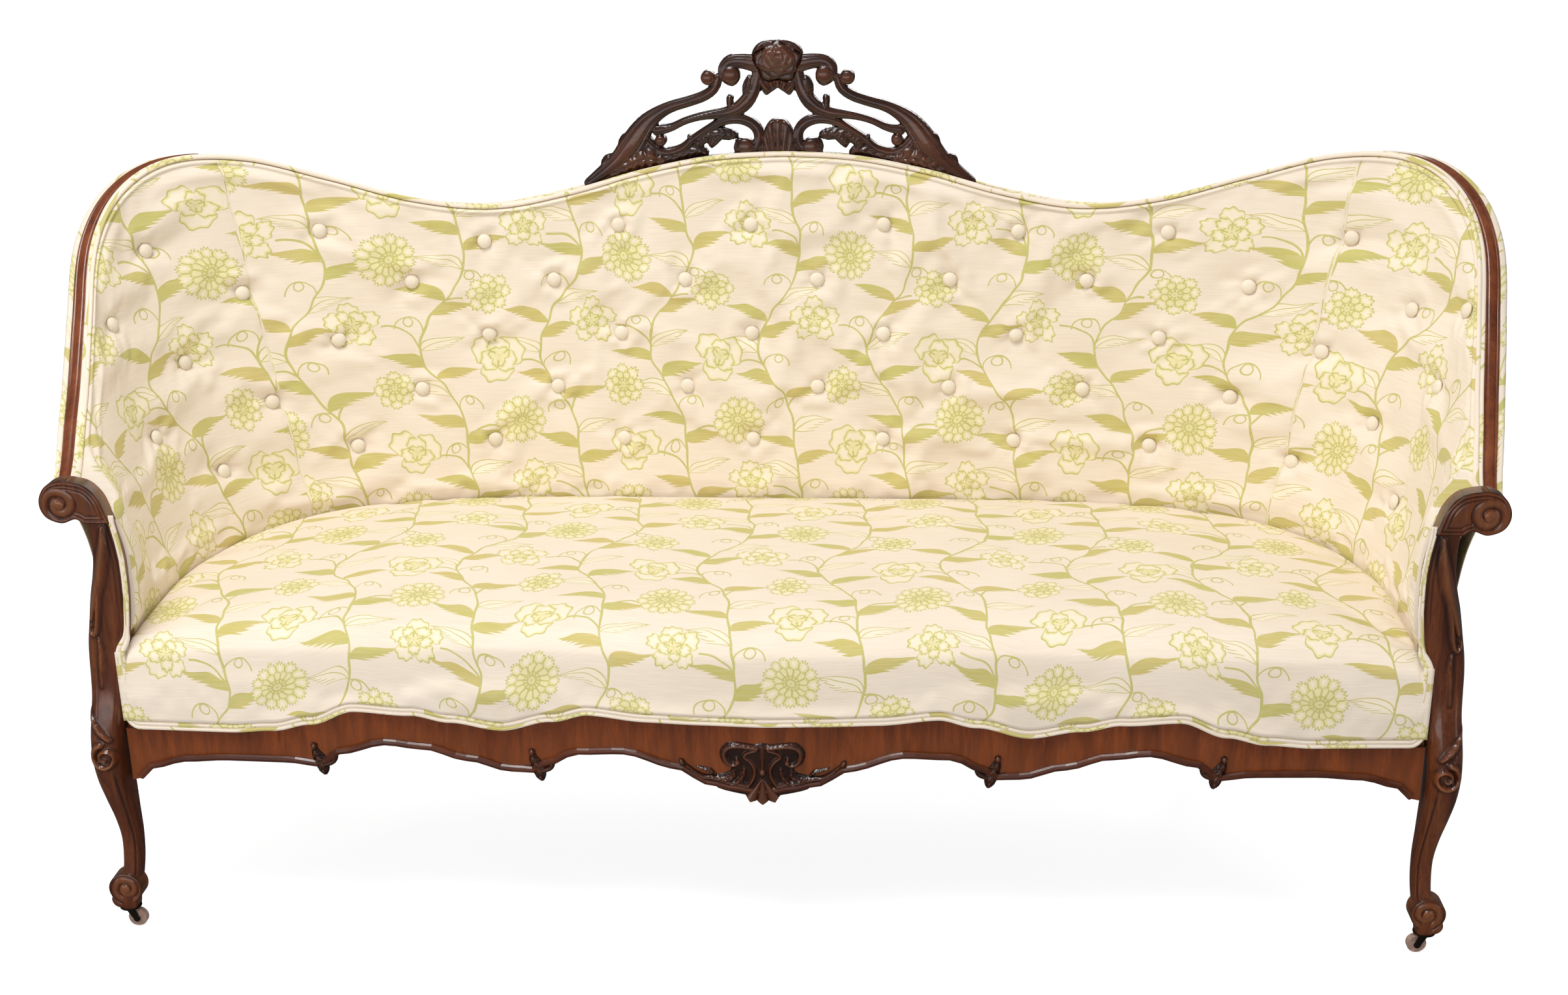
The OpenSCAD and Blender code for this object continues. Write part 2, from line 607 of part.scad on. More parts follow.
// Strokes as rows of across, up and width, all as shares of the half width
outer_shares = [[0.302, 0.385, 0.04], [0.322, 0.333, 0.046], [0.375, 0.294, 0.048], [0.455, 0.266, 0.048],
    [0.545, 0.24, 0.052], [0.615, 0.205, 0.066], [0.672, 0.16, 0.088], [0.715, 0.105, 0.11],
    [0.755, 0.045, 0.12], [0.81, -0.02, 0.1], [0.87, -0.072, 0.086], [0.93, -0.116, 0.07],
    [0.982, -0.148, 0.05]];
body_shares = [[0.6, -0.03, 0.1], [0.69, -0.02, 0.15], [0.78, -0.06, 0.11], [0.86, -0.1, 0.08]];
lower_shares = [[0.165, 0.045, 0.03], [0.19, 0.058, 0.034], [0.2, 0.024, 0.036], [0.158, 0.004, 0.04],
    [0.116, 0.03, 0.046], [0.096, 0.08, 0.05], [0.112, 0.132, 0.05], [0.155, 0.166, 0.05],
    [0.215, 0.178, 0.046], [0.29, 0.164, 0.04], [0.365, 0.124, 0.034], [0.44, 0.074, 0.036],
    [0.5, 0.024, 0.044], [0.58, 0.004, 0.05], [0.645, 0.03, 0.056], [0.69, 0.08, 0.06]];
upper_scroll_shares = [[0.232, 0.398, 0.03], [0.208, 0.386, 0.032], [0.232, 0.362, 0.036],
    [0.268, 0.39, 0.046], [0.272, 0.432, 0.054], [0.24, 0.464, 0.062], [0.185, 0.468, 0.07],
    [0.13, 0.46, 0.08], [0.08, 0.45, 0.09]];
inner_shares = [[0.62, 0.12, 0.05], [0.55, 0.134, 0.036], [0.48, 0.166, 0.032], [0.405, 0.188, 0.034],
    [0.33, 0.2, 0.042], [0.265, 0.208, 0.052], [0.205, 0.228, 0.064], [0.158, 0.268, 0.07],
    [0.124, 0.322, 0.062], [0.106, 0.378, 0.056], [0.095, 0.43, 0.06]];
crest_leaf_shares = [[[0.222, 0.096, 0.03], [0.255, 0.1, 0.056], [0.315, 0.106, 0.058], [0.375, 0.092, 0.04],
    [0.44, 0.06, 0.02]],
    [[0.375, 0.006, 0.03], [0.41, 0.02, 0.054], [0.47, 0.008, 0.056], [0.54, -0.014, 0.06],
    [0.62, -0.03, 0.07]],
    [[0.225, 0.218, 0.04], [0.245, 0.248, 0.03], [0.244, 0.282, 0.034]],
    [[0.146, 0.29, 0.06], [0.148, 0.34, 0.06], [0.142, 0.378, 0.036]],
    [[0.45, 0.06, 0.03], [0.458, 0.09, 0.018]],
    [[0.74, 0.1, 0.06], [0.78, 0.066, 0.06], [0.805, 0.046, 0.01]],
    [[0.8, 0.0, 0.08], [0.86, -0.05, 0.05], [0.892, -0.07, 0.01]]];
crest_buds = [[0.353, 0.386, 0.037], [0.236, 0.4, 0.045], [0.604, 0.07, 0.03], [0.168, 0.04, 0.036]];
function crest_pt(q) = [crest_half * q[0], crest_base + crest_half * q[1]];
module stroke(table, steps) {
    rows = spread(table, steps);
    polygon(band([for (q = rows) crest_pt(q)], [for (q = rows) crest_half * q[2]]));
}
module crest_half_shape() {
    stroke(outer_shares, 32);
    stroke(body_shares, 6);
    stroke(lower_shares, 44);
    stroke(upper_scroll_shares, 24);
    stroke(inner_shares, 26);
    for (table = crest_leaf_shares)
        stroke(table, 6);
    for (q = crest_buds)
        translate(crest_pt(q))
            circle(r = crest_half * q[2], $fn = round_fn / 2);
}
// Half outlines of the leafy mount behind the rose and of the shell below
mount_shares = [[0, 0.572], [0.05, 0.57], [0.1, 0.55], [0.128, 0.51], [0.12, 0.45], [0.098, 0.4],
    [0.088, 0.34], [0.062, 0.298], [0.034, 0.312], [0, 0.335]];
shield_shares = [[0, 0.178], [0.034, 0.17], [0.06, 0.138], [0.068, 0.1], [0.058, 0.05], [0.066, 0],
    [0.07, -0.05], [0, -0.05]];
module half_outline(table) {
    rows = spread(table, (len(table) - 1) * 3);
    n = len(rows) - 1;
    polygon(concat([for (q = rows) crest_pt(q)],
        [for (i = [n - 1 : -1 : 1]) crest_pt([-rows[i][0], rows[i][1]])]));
}
crest_foot = crest_half * 0.985;
crest_steps = 20;
crest_xs = [for (i = [-crest_steps : crest_steps]) crest_foot * i / crest_steps];
function crest_edge(x) = edge_at(atan(x / (seat_half + flare * 0.94)));
module above_back(rise) {
    intersection() {
        children();
        polygon(concat([for (x = crest_xs) [x * 1.1, crest_edge(x * 1.1) + rise]],
            [[crest_half * 1.1, crest_base + crest_half], [-crest_half * 1.1, crest_base + crest_half]]));
    }
}
module crest_shape() {
    above_back(-crest_bottom)
        union() {
            crest_half_shape();
            mirror([1, 0])
                crest_half_shape();
            half_outline(mount_shares);
            half_outline(shield_shares);
            polygon(concat([for (x = crest_xs) [x, crest_edge(x) + crest_bottom * 0.8]],
                [[crest_foot, crest_edge(crest_half) - wall_t],
                [-crest_foot, crest_edge(crest_half) - wall_t]]));
        }
}
rose_z = crest_base + crest_h * 0.86;
rose_r = crest_h * 0.123;
function petal_r(a, n) = 1 + 0.15 * cos(a * n);
module crest() {
    color(dark_wood)
        translate([crest_x, crest_y, 0])
            difference() {
                union() {
                    translate([0, crest_t / 2, 0])
                        rotate([90, 0, 0])
                            linear_extrude(crest_t)
                                crest_shape();
                    rotate([90, 0, 0])
                        linear_extrude(crest_t * 0.62)
                            above_back(welt_r * 2) {
                                half_outline(mount_shares);
                                half_outline(shield_shares);
                            }
                    translate([0, 0, rose_z])
                        rotate([90, 0, 0])
                            linear_extrude(crest_t * 0.75)
                                polygon([for (i = [0 : 59]) rose_r * petal_r(i * 6 - 90, 5)
                                    * [cos(i * 6), sin(i * 6)]]);
                    translate([0, 0, rose_z])
                        rotate([90, 0, 0])
                            cylinder(r1 = rose_r * 0.6, r2 = rose_r * 0.4, h = crest_t, $fn = round_fn);
                }
                crest_pegs();
            }
}
peg_xs = [-0.78, 0, 0.78];
peg_r = crest_t * 0.2;
peg_l = timber_h * 1.4;
module crest_pegs() {
    for (share = peg_xs)
        let (x = share * crest_half)
            translate([x, 0, crest_edge(x) - crest_bottom - peg_l * 0.6])
                cylinder(r = peg_r, h = peg_l, $fn = round_fn);
}
module crest_dowels() {
    color(pale_wood)
        translate([crest_x, crest_y, 0])
            crest_pegs();
}

// Joinery of the seat frame
block_w = post_w * 1.5;
block_h = deck_z - rail_low_z;
screw_r = axle_r;
screw_l = post_w;
head_r = screw_r * 2;
screw_zs = [0.3, 0.7];
// Places its children at each screw; back is the distance towards the middle of the seat
module screw_at(side, back) {
    for (share = screw_zs)
        translate([side * (seat_half + rail_in - block_w * 0.45 - back), post_back + block_w / 3,
            rail_low_z + block_h * share])
            rotate([0, 90 * side, 0])
                children();
}
module rail_dowels() {
    color(pale_wood)
        for (side = [-1, 1])
            for (z = dowel_zs) {
                translate([side * post_side, dowel_y, z])
                    rotate([0, 90, 0])
                        cylinder(r = dowel_r, h = dowel_l, center = true, $fn = round_fn);
                translate([side * side_dowel_x, post_back - dowel_l / 3, z])
                    rotate([-90, 0, 0])
                        cylinder(r = dowel_r, h = dowel_l, $fn = round_fn);
            }
}
module corner_blocks() {
    inner = seat_half + rail_in;
    color(pale_wood)
        for (side = [-1, 1])
            difference() {
                translate([0, 0, rail_low_z])
                    linear_extrude(block_h)
                        polygon([[side * inner, rail_back], [side * (inner - block_w), rail_back],
                            [side * inner, rail_back + block_w]]);
                screw_at(side, 0)
                    cylinder(r = screw_r, h = screw_l, $fn = round_fn);
                screw_at(side, block_w)
                    cylinder(r = head_r, h = block_w, $fn = round_fn);
            }
}
module corner_screws() {
    color(iron)
        for (side = [-1, 1]) {
            screw_at(side, 0)
                cylinder(r = screw_r, h = screw_l, $fn = round_fn);
            screw_at(side, screw_r)
                cylinder(r = head_r, h = screw_r, $fn = round_fn);
        }
}

// Webbing, springs and hessian of the seat
function back_y(x, t) = centre_y
    + (seat_b + t) * pow(max(1 - pow(min(abs(x) / (seat_half + t), 1), plan_n), 0), 1 / plan_n);
web_w = seat_w * 0.03;
web_xs = [for (i = [-5 : 5]) i * seat_half * 0.125];
web_ys = [0.2, 0.37, 0.54, 0.71];
module seat_webbing() {
    color(jute) {
        for (x = web_xs)
            let (y = back_y(x, 0))
                translate([x - web_w / 2, rail_back, rail_low_z - sheet_t])
                    cube([web_w, y - rail_back, sheet_t]);
        for (share = web_ys)
            translate([-seat_half, front_y + seat_d * share - web_w / 2, rail_low_z - sheet_t * 2])
                cube([seat_w, web_w, sheet_t]);
    }
}
spring_r = web_w * 0.85;
spring_xs = [for (i = [-3 : 3]) i * seat_half * 0.25];
spring_ys = [0.25, 0.5, 0.75];
module seat_springs() {
    h = deck_z - rail_low_z;
    color(iron)
        for (x = spring_xs)
            for (share = spring_ys)
                translate([x, front_y + seat_d * share, rail_low_z])
                    rotate_extrude($fn = 24)
                        polygon([[spring_r, 0], [spring_r * 0.66, h / 2], [spring_r, h],
                            [spring_r - sheet_t, h], [spring_r * 0.66 - sheet_t, h / 2],
                            [spring_r - sheet_t, 0]]);
}
plan_steps = 36;
function plan_curve(t) = [for (i = [0 : plan_steps]) let (a = end_a * (2 * i / plan_steps - 1),
    p = wall(a, seat_z, t)) [p[0], p[1]]];
module seat_hessian() {
    edge_x = seat_half - gap * 5;
    color(jute)
        translate([0, 0, deck_z])
            linear_extrude(sheet_t)
                polygon(concat(plan_curve(-gap * 5), [[edge_x, rail_back - facing_t],
                    [-edge_x, rail_back - facing_t]]));
}
module dust_cover() {
    color(dark_wood)
        translate([0, 0, rail_low_z - sheet_t * 3])
            linear_extrude(sheet_t)
                difference() {
                    polygon(concat(plan_curve(wall_t * 0.4), [[seat_half + rail_in, rail_back + gap],
                        [-seat_half - rail_in, rail_back + gap]]));
                    for (side = [-1, 1])
                        translate([side * leg_x, leg_y + leg_w * 0.1])
                            square(leg_w * 1.4, center = true);
                }
}

// Seat stuffing and cover, drawn as sections from side to side
seat_over = cloth_t * 3.75;
seat_in = cloth_t;
cover_low = welt_r * 5.4;
seat_crown = wall_t * 0.44;
seat_drop = wall_t * 0.3;
front_roll = wall_t * 0.9;
seat_shares = concat([for (i = [0 : 20]) i * 0.044], [0.915, 0.945, 0.97, 0.988, 1]);
seat_rights = concat([for (share = seat_shares) share * (seat_half - seat_in)],
    [seat_half + gap, post_side - gap]);
seat_xs = concat([for (i = [len(seat_rights) - 1 : -1 : 1]) -seat_rights[i]], seat_rights);
function seat_base(x) = abs(x) > seat_half ? corner_z - gap - seat_in
    : seat_z - seat_drop * pow(abs(x) / seat_half, 6);
// Section at x, from the bottom of the back up, over the top and down the front
function seat_section(x, inset) =
    let (yf = rail_y(x) - seat_over + inset, yb = back_y(x, -seat_in) - inset,
        r = min(front_roll, (yb - yf) * 0.6), side = max(1 - pow(abs(x) / seat_half, 8), 0),
        base = seat_base(x) - inset, crown = seat_crown * side)
    concat([[yb, deck_z + sheet_t], [yb, base - seat_drop * 0.6]],
        [for (f = [0.03, 0.2, 0.45, 0.7]) [mix(yb, yf + r * 0.6, f), base + crown * pow(sin(180 * min(
            f * 0.85 + 0.03, 0.75)), 0.8)]],
        [for (a = [25, 55, 85]) [yf + r * (1 - sin(a)), base + crown * 0.55 - r * (1 - cos(a))]],
        [[yf, rail_top(x) + cover_low]]);
module seat_cover() {
    color(cloth)
        loft([for (x = seat_xs)
            let (outside = seat_section(x, 0), inside = seat_section(x, cloth_t), n = len(inside) - 1)
            [for (q = concat(outside, [for (i = [n : -1 : 0]) inside[i]])) [x, q[0], q[1]]]]);
}
module seat_pad() {
    color(jute)
        loft([for (x = seat_xs)
            let (core = rail_y(x) + facing_t - gap * 2)
            [for (q = concat(seat_section(x, cloth_t + gap * 2), [[core, rail_top(x) + cover_low],
                [core, deck_z + sheet_t]])) [x, q[0], q[1]]]]);
}

// A double cord, as shares of the cord radius
cord_shares = [[0, -0.35], [0.5, -0.9], [1.4, -0.9], [2, 0], [1.4, 0.9], [0.5, 0.9], [0, 0.35],
    [-0.5, 0.9], [-1.4, 0.9], [-2, 0], [-1.4, -0.9], [-0.5, -0.9]];
module seat_welt() {
    color(cloth)
        sweep([for (i = [0 : rail_steps / 2]) let (x = rail_xs[i * 2]) if (abs(x) < post_side - welt_r)
            [x, rail_y(x) - seat_over + welt_r, rail_top(x) + welt_r * 2.15]],
            [for (q = cord_shares) welt_r * q], [0, 0, 1]);
}
module back_welt() {
    t = trim_in - welt_r * 2.2;
    color(cloth)
        loft([for (a = cols) [for (q = cord_shares)
            wall(a, edge(a) + welt_r * (0.85 + q[1]), t + welt_r * q[0])]]);
}

// Stuffing and covers of the wall, drawn as sections at every column
flap_t = wall_t * 0.65;
crest_a = 21;
crest_room = trim_in + crest_t + gap * 15;
function flap_end(a) = abs(a) >= wing_in || abs(a) < crest_a ? trim_in - gap : flap_t;
function skin_start(a) = abs(a) >= wing_in ? trim_out + cloth_t * 1.2
    : abs(a) < crest_a ? max(crest_room, flap_t) : flap_t;
function plain_z(a, f) = mix(seat_z, edge(a) - roll_h, f);
function stuff_z(a) = edge(a) - rail_drop - timber_h * 1.1;
plain_fs = [0, 0.33, 0.66];
module back_cover() {
    color(cloth)
        loft([for (i = [0 : last + 2])
            let (a = cover_cols[i], s = cover_s[i], e = edge(a), flap = flap_end(a))
            [for (q = concat([[0, deck_z], [0, seat_z]],
                [for (k = [1 : row_count]) [face_t(s, k, a), row_z(a, k)]],
                [[-puff * 0.4, e - roll_h * 0.6], [trim_in * 0.3, e - roll_h * 0.08],
                    [flap, e - roll_h * 0.14], [flap, e - roll_h], [tuft_h, e - roll_h]],
                [for (k = [len(plain_fs) - 1 : -1 : 0]) [tuft_h, plain_z(a, plain_fs[k])]],
                [[tuft_h, deck_z]])) wall(a, q[1], q[0])]], row_count + 4);
}
pad_in = tuft_h + gap * 2;
pad_top = timber_in - gap * 3;
module back_pad() {
    color(jute)
        loft([for (a = cols)
            [for (q = concat([[pad_in, deck_z]], [for (f = plain_fs) [pad_in, plain_z(a, f)]],
                [[pad_in, edge(a) - rail_drop], [pad_top, edge(a) - rail_drop],
                    [pad_top, stuff_z(a)], [pad_t, stuff_z(a)]],
                [for (k = [len(plain_fs) - 1 : -1 : 0]) [pad_t, mix(seat_z, stuff_z(a), plain_fs[k])]],
                [[pad_t, deck_z]])) wall(a, q[1], q[0])]], len(plain_fs) + 1);
}
module back_hessian() {
    out = pad_t + sheet_t;
    color(jute)
        loft([for (a = cols)
            [for (q = concat([[pad_t, deck_z]],
                [for (f = plain_fs) [pad_t, mix(seat_z, stuff_z(a), f)]],
                [[pad_t, stuff_z(a)], [out, stuff_z(a)]],
                [for (k = [len(plain_fs) - 1 : -1 : 0]) [out, mix(seat_z, stuff_z(a), plain_fs[k])]],
                [[out, deck_z]])) wall(a, q[1], q[0])]]);
}
module outside_skin(list) {
    color(cloth)
        loft([for (a = list) let (e = edge(a), open = skin_start(a))
            [for (q = concat([[skin_in, rail_low_z]], [for (f = plain_fs) [skin_in, plain_z(a, f)]],
                [[skin_in, e - roll_h], [timber_out, e - roll_h * 0.2],
                    [open, e - roll_h * 0.2], [open, e], [mix(open, wall_t, 0.5), e + roll_h * 0.2],
                    [wall_t * 0.96, e - roll_h * 0.3], [wall_t, e - roll_h * 1.2]],
                [for (k = [len(plain_fs) - 1 : -1 : 0]) [wall_t, plain_z(a, plain_fs[k])]],
                [[wall_t, rail_low_z]])) wall(a, q[1], q[0])]], len(plain_fs) + 3);
}
module outside_back() outside_skin(mid_cols);
module outside_arm_left() outside_skin(wing_l);
module outside_arm_right() outside_skin(wing_r);

// Buttons where the cover is drawn in
button_lift = tuft_h * 0.36;
button_rows = [1, 3, 5, 7, top_row];
button_places = [for (k = button_rows, i = [-6 : 6])
    let (s = button_shift + button_gap * (i + (k % 4 == 3 ? 0.5 : 0)), a = angle_at(s),
        z = row_z(a, k))
    if (abs(s) < end_s * 0.83 && edge(a) - z > row_gap * 0.5) [a, z]];
module tufting_buttons() {
    color(cloth)
        for (q = button_places)
            let (here = wall(q[0], q[1], tuft_h - cloth_t - button_lift),
                across = wall(q[0] + 1, q[1], 0) - wall(q[0] - 1, q[1], 0),
                up = wall(q[0], q[1] + row_half, 0) - wall(q[0], q[1] - row_half, 0),
                n = unit(cross(across, up)))
                translate(here)
                    rotate([0, acos(n[2]), atan2(n[1], n[0])])
                        rotate_extrude($fn = 24)
                            polygon([for (p = [[0, 0], [1, 0], [1, 0.14], [0.8, 0.36], [0.45, 0.48],
                                [0, 0.52]]) button_r * p]);
}

// Casters: a plate and socket in the leg, a horn that swivels and a wheel that turns
plate_r = foot_w * 0.46;
plate_h = wheel_r * 0.14;
cheek_t = wheel_w * 0.18;
wheel_gap = wheel_w * 0.04;
crown_low = wheel_r * 2 + wheel_gap;
crown_top = caster_z - plate_h - wheel_gap;
cheek_in = wheel_w / 2 + wheel_gap;
cheek_r = axle_r * 2.2;
module at_foot(place) {
    front = place[1] < 0;
    x = front ? stem_x : leg_x + leg_rake * 0.12;
    y = front ? stem_y : leg_y + leg_rake;
    translate([place[0] * x, y, 0])
        rotate([0, 0, place[0] > 0 ? 180 : 0])
            children();
}
module caster_plate(place) {
    color(iron)
        at_foot(place)
            difference() {
                union() {
                    translate([0, 0, caster_z - plate_h])
                        cylinder(r = plate_r, h = plate_h, $fn = round_fn);
                    translate([0, 0, caster_z - cut / 2])
                        cylinder(r = socket_r, h = socket_h + cut / 2, $fn = round_fn);
                }
                translate([0, 0, caster_z - plate_h - cut])
                    cylinder(r = stem_r + run, h = socket_h, $fn = round_fn);
            }
}
module caster_horn(place) {
    color(iron)
        at_foot(place)
            difference() {
                union() {
                    translate([0, 0, crown_low])
                        cylinder(r = cheek_in + cheek_t, h = crown_top - crown_low, $fn = round_fn);
                    translate([0, 0, crown_low])
                        cylinder(r = stem_r, h = caster_z + socket_h * 0.8 - crown_low, $fn = round_fn);
                    for (side = [0, 1])
                        translate([0, side * (cheek_in * 2 + cheek_t) - cheek_in, 0])
                            rotate([90, 0, 0])
                                linear_extrude(cheek_t)
                                    union() {
                                        translate([trail, wheel_r])
                                            circle(r = cheek_r, $fn = round_fn);
                                        polygon([[-stem_r, crown_low + wheel_gap], [trail - cheek_r, wheel_r],
                                            [trail + cheek_r, wheel_r], [trail * 0.8, crown_top - wheel_gap],
                                            [-stem_r, crown_top - wheel_gap]]);
                                    }
                }
                translate([trail, 0, wheel_r])
                    rotate([90, 0, 0])
                        cylinder(r = axle_r, h = wheel_w * 2, center = true, $fn = round_fn);
            }
}
module caster_axle(place) {
    color(iron)
        at_foot(place)
            translate([trail, 0, wheel_r])
                rotate([90, 0, 0])
                    cylinder(r = axle_r, h = (cheek_in + cheek_t) * 2, center = true, $fn = round_fn);
}
module caster_wheel(place) {
    h = wheel_w / 2;
    color(pale_wood)
        at_foot(place)
            translate([trail, 0, wheel_r])
                rotate([90, 0, 0])
                    rotate_extrude($fn = round_fn)
                        polygon([[axle_r + run, -h], [axle_r * 2, -h], [axle_r * 2.2, -h * 0.85],
                            [wheel_r * 0.92, -h * 0.85], [wheel_r, -h * 0.6], [wheel_r, h * 0.6],
                            [wheel_r * 0.92, h * 0.85], [axle_r * 2.2, h * 0.85], [axle_r * 2, h],
                            [axle_r + run, h]]);
}
module caster_plate_fl() caster_plate([-1, -1]);
module caster_horn_fl() caster_horn([-1, -1]);
module caster_axle_fl() caster_axle([-1, -1]);
module caster_wheel_fl() caster_wheel([-1, -1]);
module caster_plate_fr() caster_plate([1, -1]);
module caster_horn_fr() caster_horn([1, -1]);
module caster_axle_fr() caster_axle([1, -1]);
module caster_wheel_fr() caster_wheel([1, -1]);
module caster_plate_bl() caster_plate([-1, 1]);
module caster_horn_bl() caster_horn([-1, 1]);
module caster_axle_bl() caster_axle([-1, 1]);
module caster_wheel_bl() caster_wheel([-1, 1]);
module caster_plate_br() caster_plate([1, 1]);
module caster_horn_br() caster_horn([1, 1]);
module caster_axle_br() caster_axle([1, 1]);
module caster_wheel_br() caster_wheel([1, 1]);

front_post_left();
front_post_right();
arm_scroll_left();
arm_scroll_right();
front_rail();
apron_bead();
apron_shell();
apron_drops();
side_rail_left();
side_rail_right();
back_rail();
back_leg_left();
back_leg_right();
back_uprights();
top_rail();
wing_rail_left();
wing_rail_right();
wing_moulding_left();
wing_moulding_right();
crest();
crest_dowels();
rail_dowels();
corner_blocks();
corner_screws();
seat_webbing();
seat_springs();
seat_hessian();
seat_pad();
seat_cover();
seat_welt();
back_hessian();
back_pad();
back_cover();
back_welt();
tufting_buttons();
outside_back();
outside_arm_left();
outside_arm_right();
dust_cover();
caster_plate_fl();
caster_horn_fl();
caster_axle_fl();
caster_wheel_fl();
caster_plate_fr();
caster_horn_fr();
caster_axle_fr();
caster_wheel_fr();
caster_plate_bl();
caster_horn_bl();
caster_axle_bl();
caster_wheel_bl();
caster_plate_br();
caster_horn_br();
caster_axle_br();
caster_wheel_br();
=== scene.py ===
import math
from functools import partial

import bpy
import numpy as np
from mathutils import Matrix


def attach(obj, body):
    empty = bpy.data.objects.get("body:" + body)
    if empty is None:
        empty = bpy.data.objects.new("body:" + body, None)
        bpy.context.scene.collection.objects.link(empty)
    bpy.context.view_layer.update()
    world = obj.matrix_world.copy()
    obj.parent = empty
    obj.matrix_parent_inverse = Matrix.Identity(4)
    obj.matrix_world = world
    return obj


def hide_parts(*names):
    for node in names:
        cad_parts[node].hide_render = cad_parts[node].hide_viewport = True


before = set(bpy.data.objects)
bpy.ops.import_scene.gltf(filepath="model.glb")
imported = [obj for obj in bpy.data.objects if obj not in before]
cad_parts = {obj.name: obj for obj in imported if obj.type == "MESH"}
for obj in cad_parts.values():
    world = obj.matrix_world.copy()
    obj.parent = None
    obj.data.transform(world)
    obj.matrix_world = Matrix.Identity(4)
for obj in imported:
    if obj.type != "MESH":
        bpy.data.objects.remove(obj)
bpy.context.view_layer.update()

# Sizes in millimetres, as in the part's source
sofa = {"seatHalf": 857.0, "seatZ": 430.0, "railZ": 289.0, "deckZ": 360.0, "lowZ": 276.0, "armZ": 615.0,
        "backZ": 984.0, "flare": 158.0, "rake": 45.0, "wallT": 46.0, "postW": 46.0, "postD": 50.0,
        "scrollR": 26.0, "frontY": -310.778, "seatB": 547.0}
print("frame loaded")


# Colour code to linear values: v / 12.92 near black, else ((v + 0.055) / 1.055) to the power 2.4
def linear(code):
    values = [int(code[i:i + 2], 16) / 255 for i in (1, 3, 5)]
    return tuple(v / 12.92 if v < 0.04045 else ((v + 0.055) / 1.055) ** 2.4 for v in values) + (1.0,)


# Adds one node with its settings and links. Capitals name a Math node's operation, a dictionary names the sockets,
# and stops fill a colour ramp: pairs of a place and a colour code, a grey or three plain values
def addNode(tree, kind, *inputs, out=0, stops=(), mode="LINEAR", **settings):
    if kind.isupper():
        kind, settings = "Math", {"operation": kind}
    node = tree.nodes.new("ShaderNode" + kind)
    for key, value in settings.items():
        setattr(node, key, value)
    for key, value in (inputs[0] if inputs and isinstance(inputs[0], dict) else dict(enumerate(inputs))).items():
        if isinstance(value, bpy.types.NodeSocket):
            tree.links.new(value, node.inputs[key])
        else:
            node.inputs[key].default_value = value
    if stops:
        table = node.color_ramp
        table.interpolation = mode
        while len(table.elements) < len(stops):
            table.elements.new(0.5)
        for element, (at, colour) in zip(table.elements, stops):
            element.position = at
            if isinstance(colour, str):
                element.color = linear(colour)
            else:
                element.color = (*colour, 1) if isinstance(colour, tuple) else (colour, colour, colour, 1)
    return node.outputs[out] if len(node.outputs) else node


# An empty material, and the function that adds a node to it
def newMaterial(name):
    material = bpy.data.materials.new(name)
    material.use_nodes = True
    material.node_tree.nodes.clear()
    return material, partial(addNode, material.node_tree)


def detail(full, quick):
    return full


# Six times the volume inside the faces: the sum of a . (b x c) over the triangles, below 0 when inside out
def signedVolume(points, faces):
    tris = np.concatenate([faces[:, [0, 1, 2]], faces[:, [0, 2, 3]]])
    a, b, c = points[tris[:, 0]], points[tris[:, 1]], points[tris[:, 2]]
    return float(np.einsum("ij,ij->i", a, np.cross(b, c)).sum())


# Mesh from points in millimetres, quads with uv at their corners, end fans and named values at the points
def meshFrom(name, points, quads, uv=None, fans=(), values=None):
    points = np.asarray(points, float).reshape(-1, 3)
    if signedVolume(points, quads) < 0:
        quads = quads[:, ::-1]
        uv = None if uv is None else uv[:, ::-1]
        fans = [f[::-1] for f in fans]
    corners = np.concatenate([quads.ravel()] + [np.asarray(f) for f in fans]).astype(np.int32)
    counts = np.concatenate([np.full(len(quads), quads.shape[1])] + [[len(f)] for f in fans]).astype(np.int32)
    mesh = bpy.data.meshes.new(name)
    mesh.vertices.add(len(points))
    mesh.vertices.foreach_set("co", (points * 0.001).astype(np.float32).ravel())
    mesh.loops.add(len(corners))
    mesh.loops.foreach_set("vertex_index", corners)
    mesh.polygons.add(len(counts))
    mesh.polygons.foreach_set("loop_start", np.concatenate([[0], np.cumsum(counts)[:-1]]).astype(np.int32))
    mesh.update(calc_edges=True)
    layer = mesh.uv_layers.new(name="cloth")
    flat = np.zeros((len(corners), 2), np.float32)
    if uv is not None:
        flat[:quads.size] = (uv * 0.001).reshape(-1, 2)
    layer.uv.foreach_set("vector", flat.ravel())
    for key, value in (values or {}).items():
        attribute = mesh.attributes.new(key, "FLOAT", "POINT")
        attribute.data.foreach_set("value", np.asarray(value, np.float32).ravel())
    mesh.validate()
    piece = bpy.data.objects.new(name, mesh)
    bpy.context.scene.collection.objects.link(piece)
    return piece


# Quads of a grid of n rows by m points, each row closed on itself where around is set
def gridQuads(n, m, around=True):
    i, j = np.meshgrid(np.arange(n - 1), np.arange(m if around else m - 1), indexing="ij")
    k = (j + 1) % m
    return np.stack([i * m + j, i * m + k, (i + 1) * m + k, (i + 1) * m + j], -1).reshape(-1, 4)


# Rings of points (n, m, 3) joined into one closed skin with flat ends; uv has one column more than the rings
def skin(name, rings, uv=None, values=None):
    n, m = rings.shape[:2]
    if uv is not None:
        uv = np.stack([uv[:-1, :-1], uv[:-1, 1:], uv[1:, 1:], uv[1:, :-1]], -2).reshape(-1, 4, 2)
    fans = [np.arange(m)[::-1], np.arange(m) + (n - 1) * m]
    return meshFrom(name, rings, gridQuads(n, m), uv, fans, values)


# Several parts made one piece
def join(name, parts):
    bpy.ops.object.select_all(action="DESELECT")
    for part in parts:
        part.select_set(True)
    bpy.context.view_layer.objects.active = parts[0]
    bpy.ops.object.join()
    parts[0].name = name
    parts[0].data.name = name
    return parts[0]


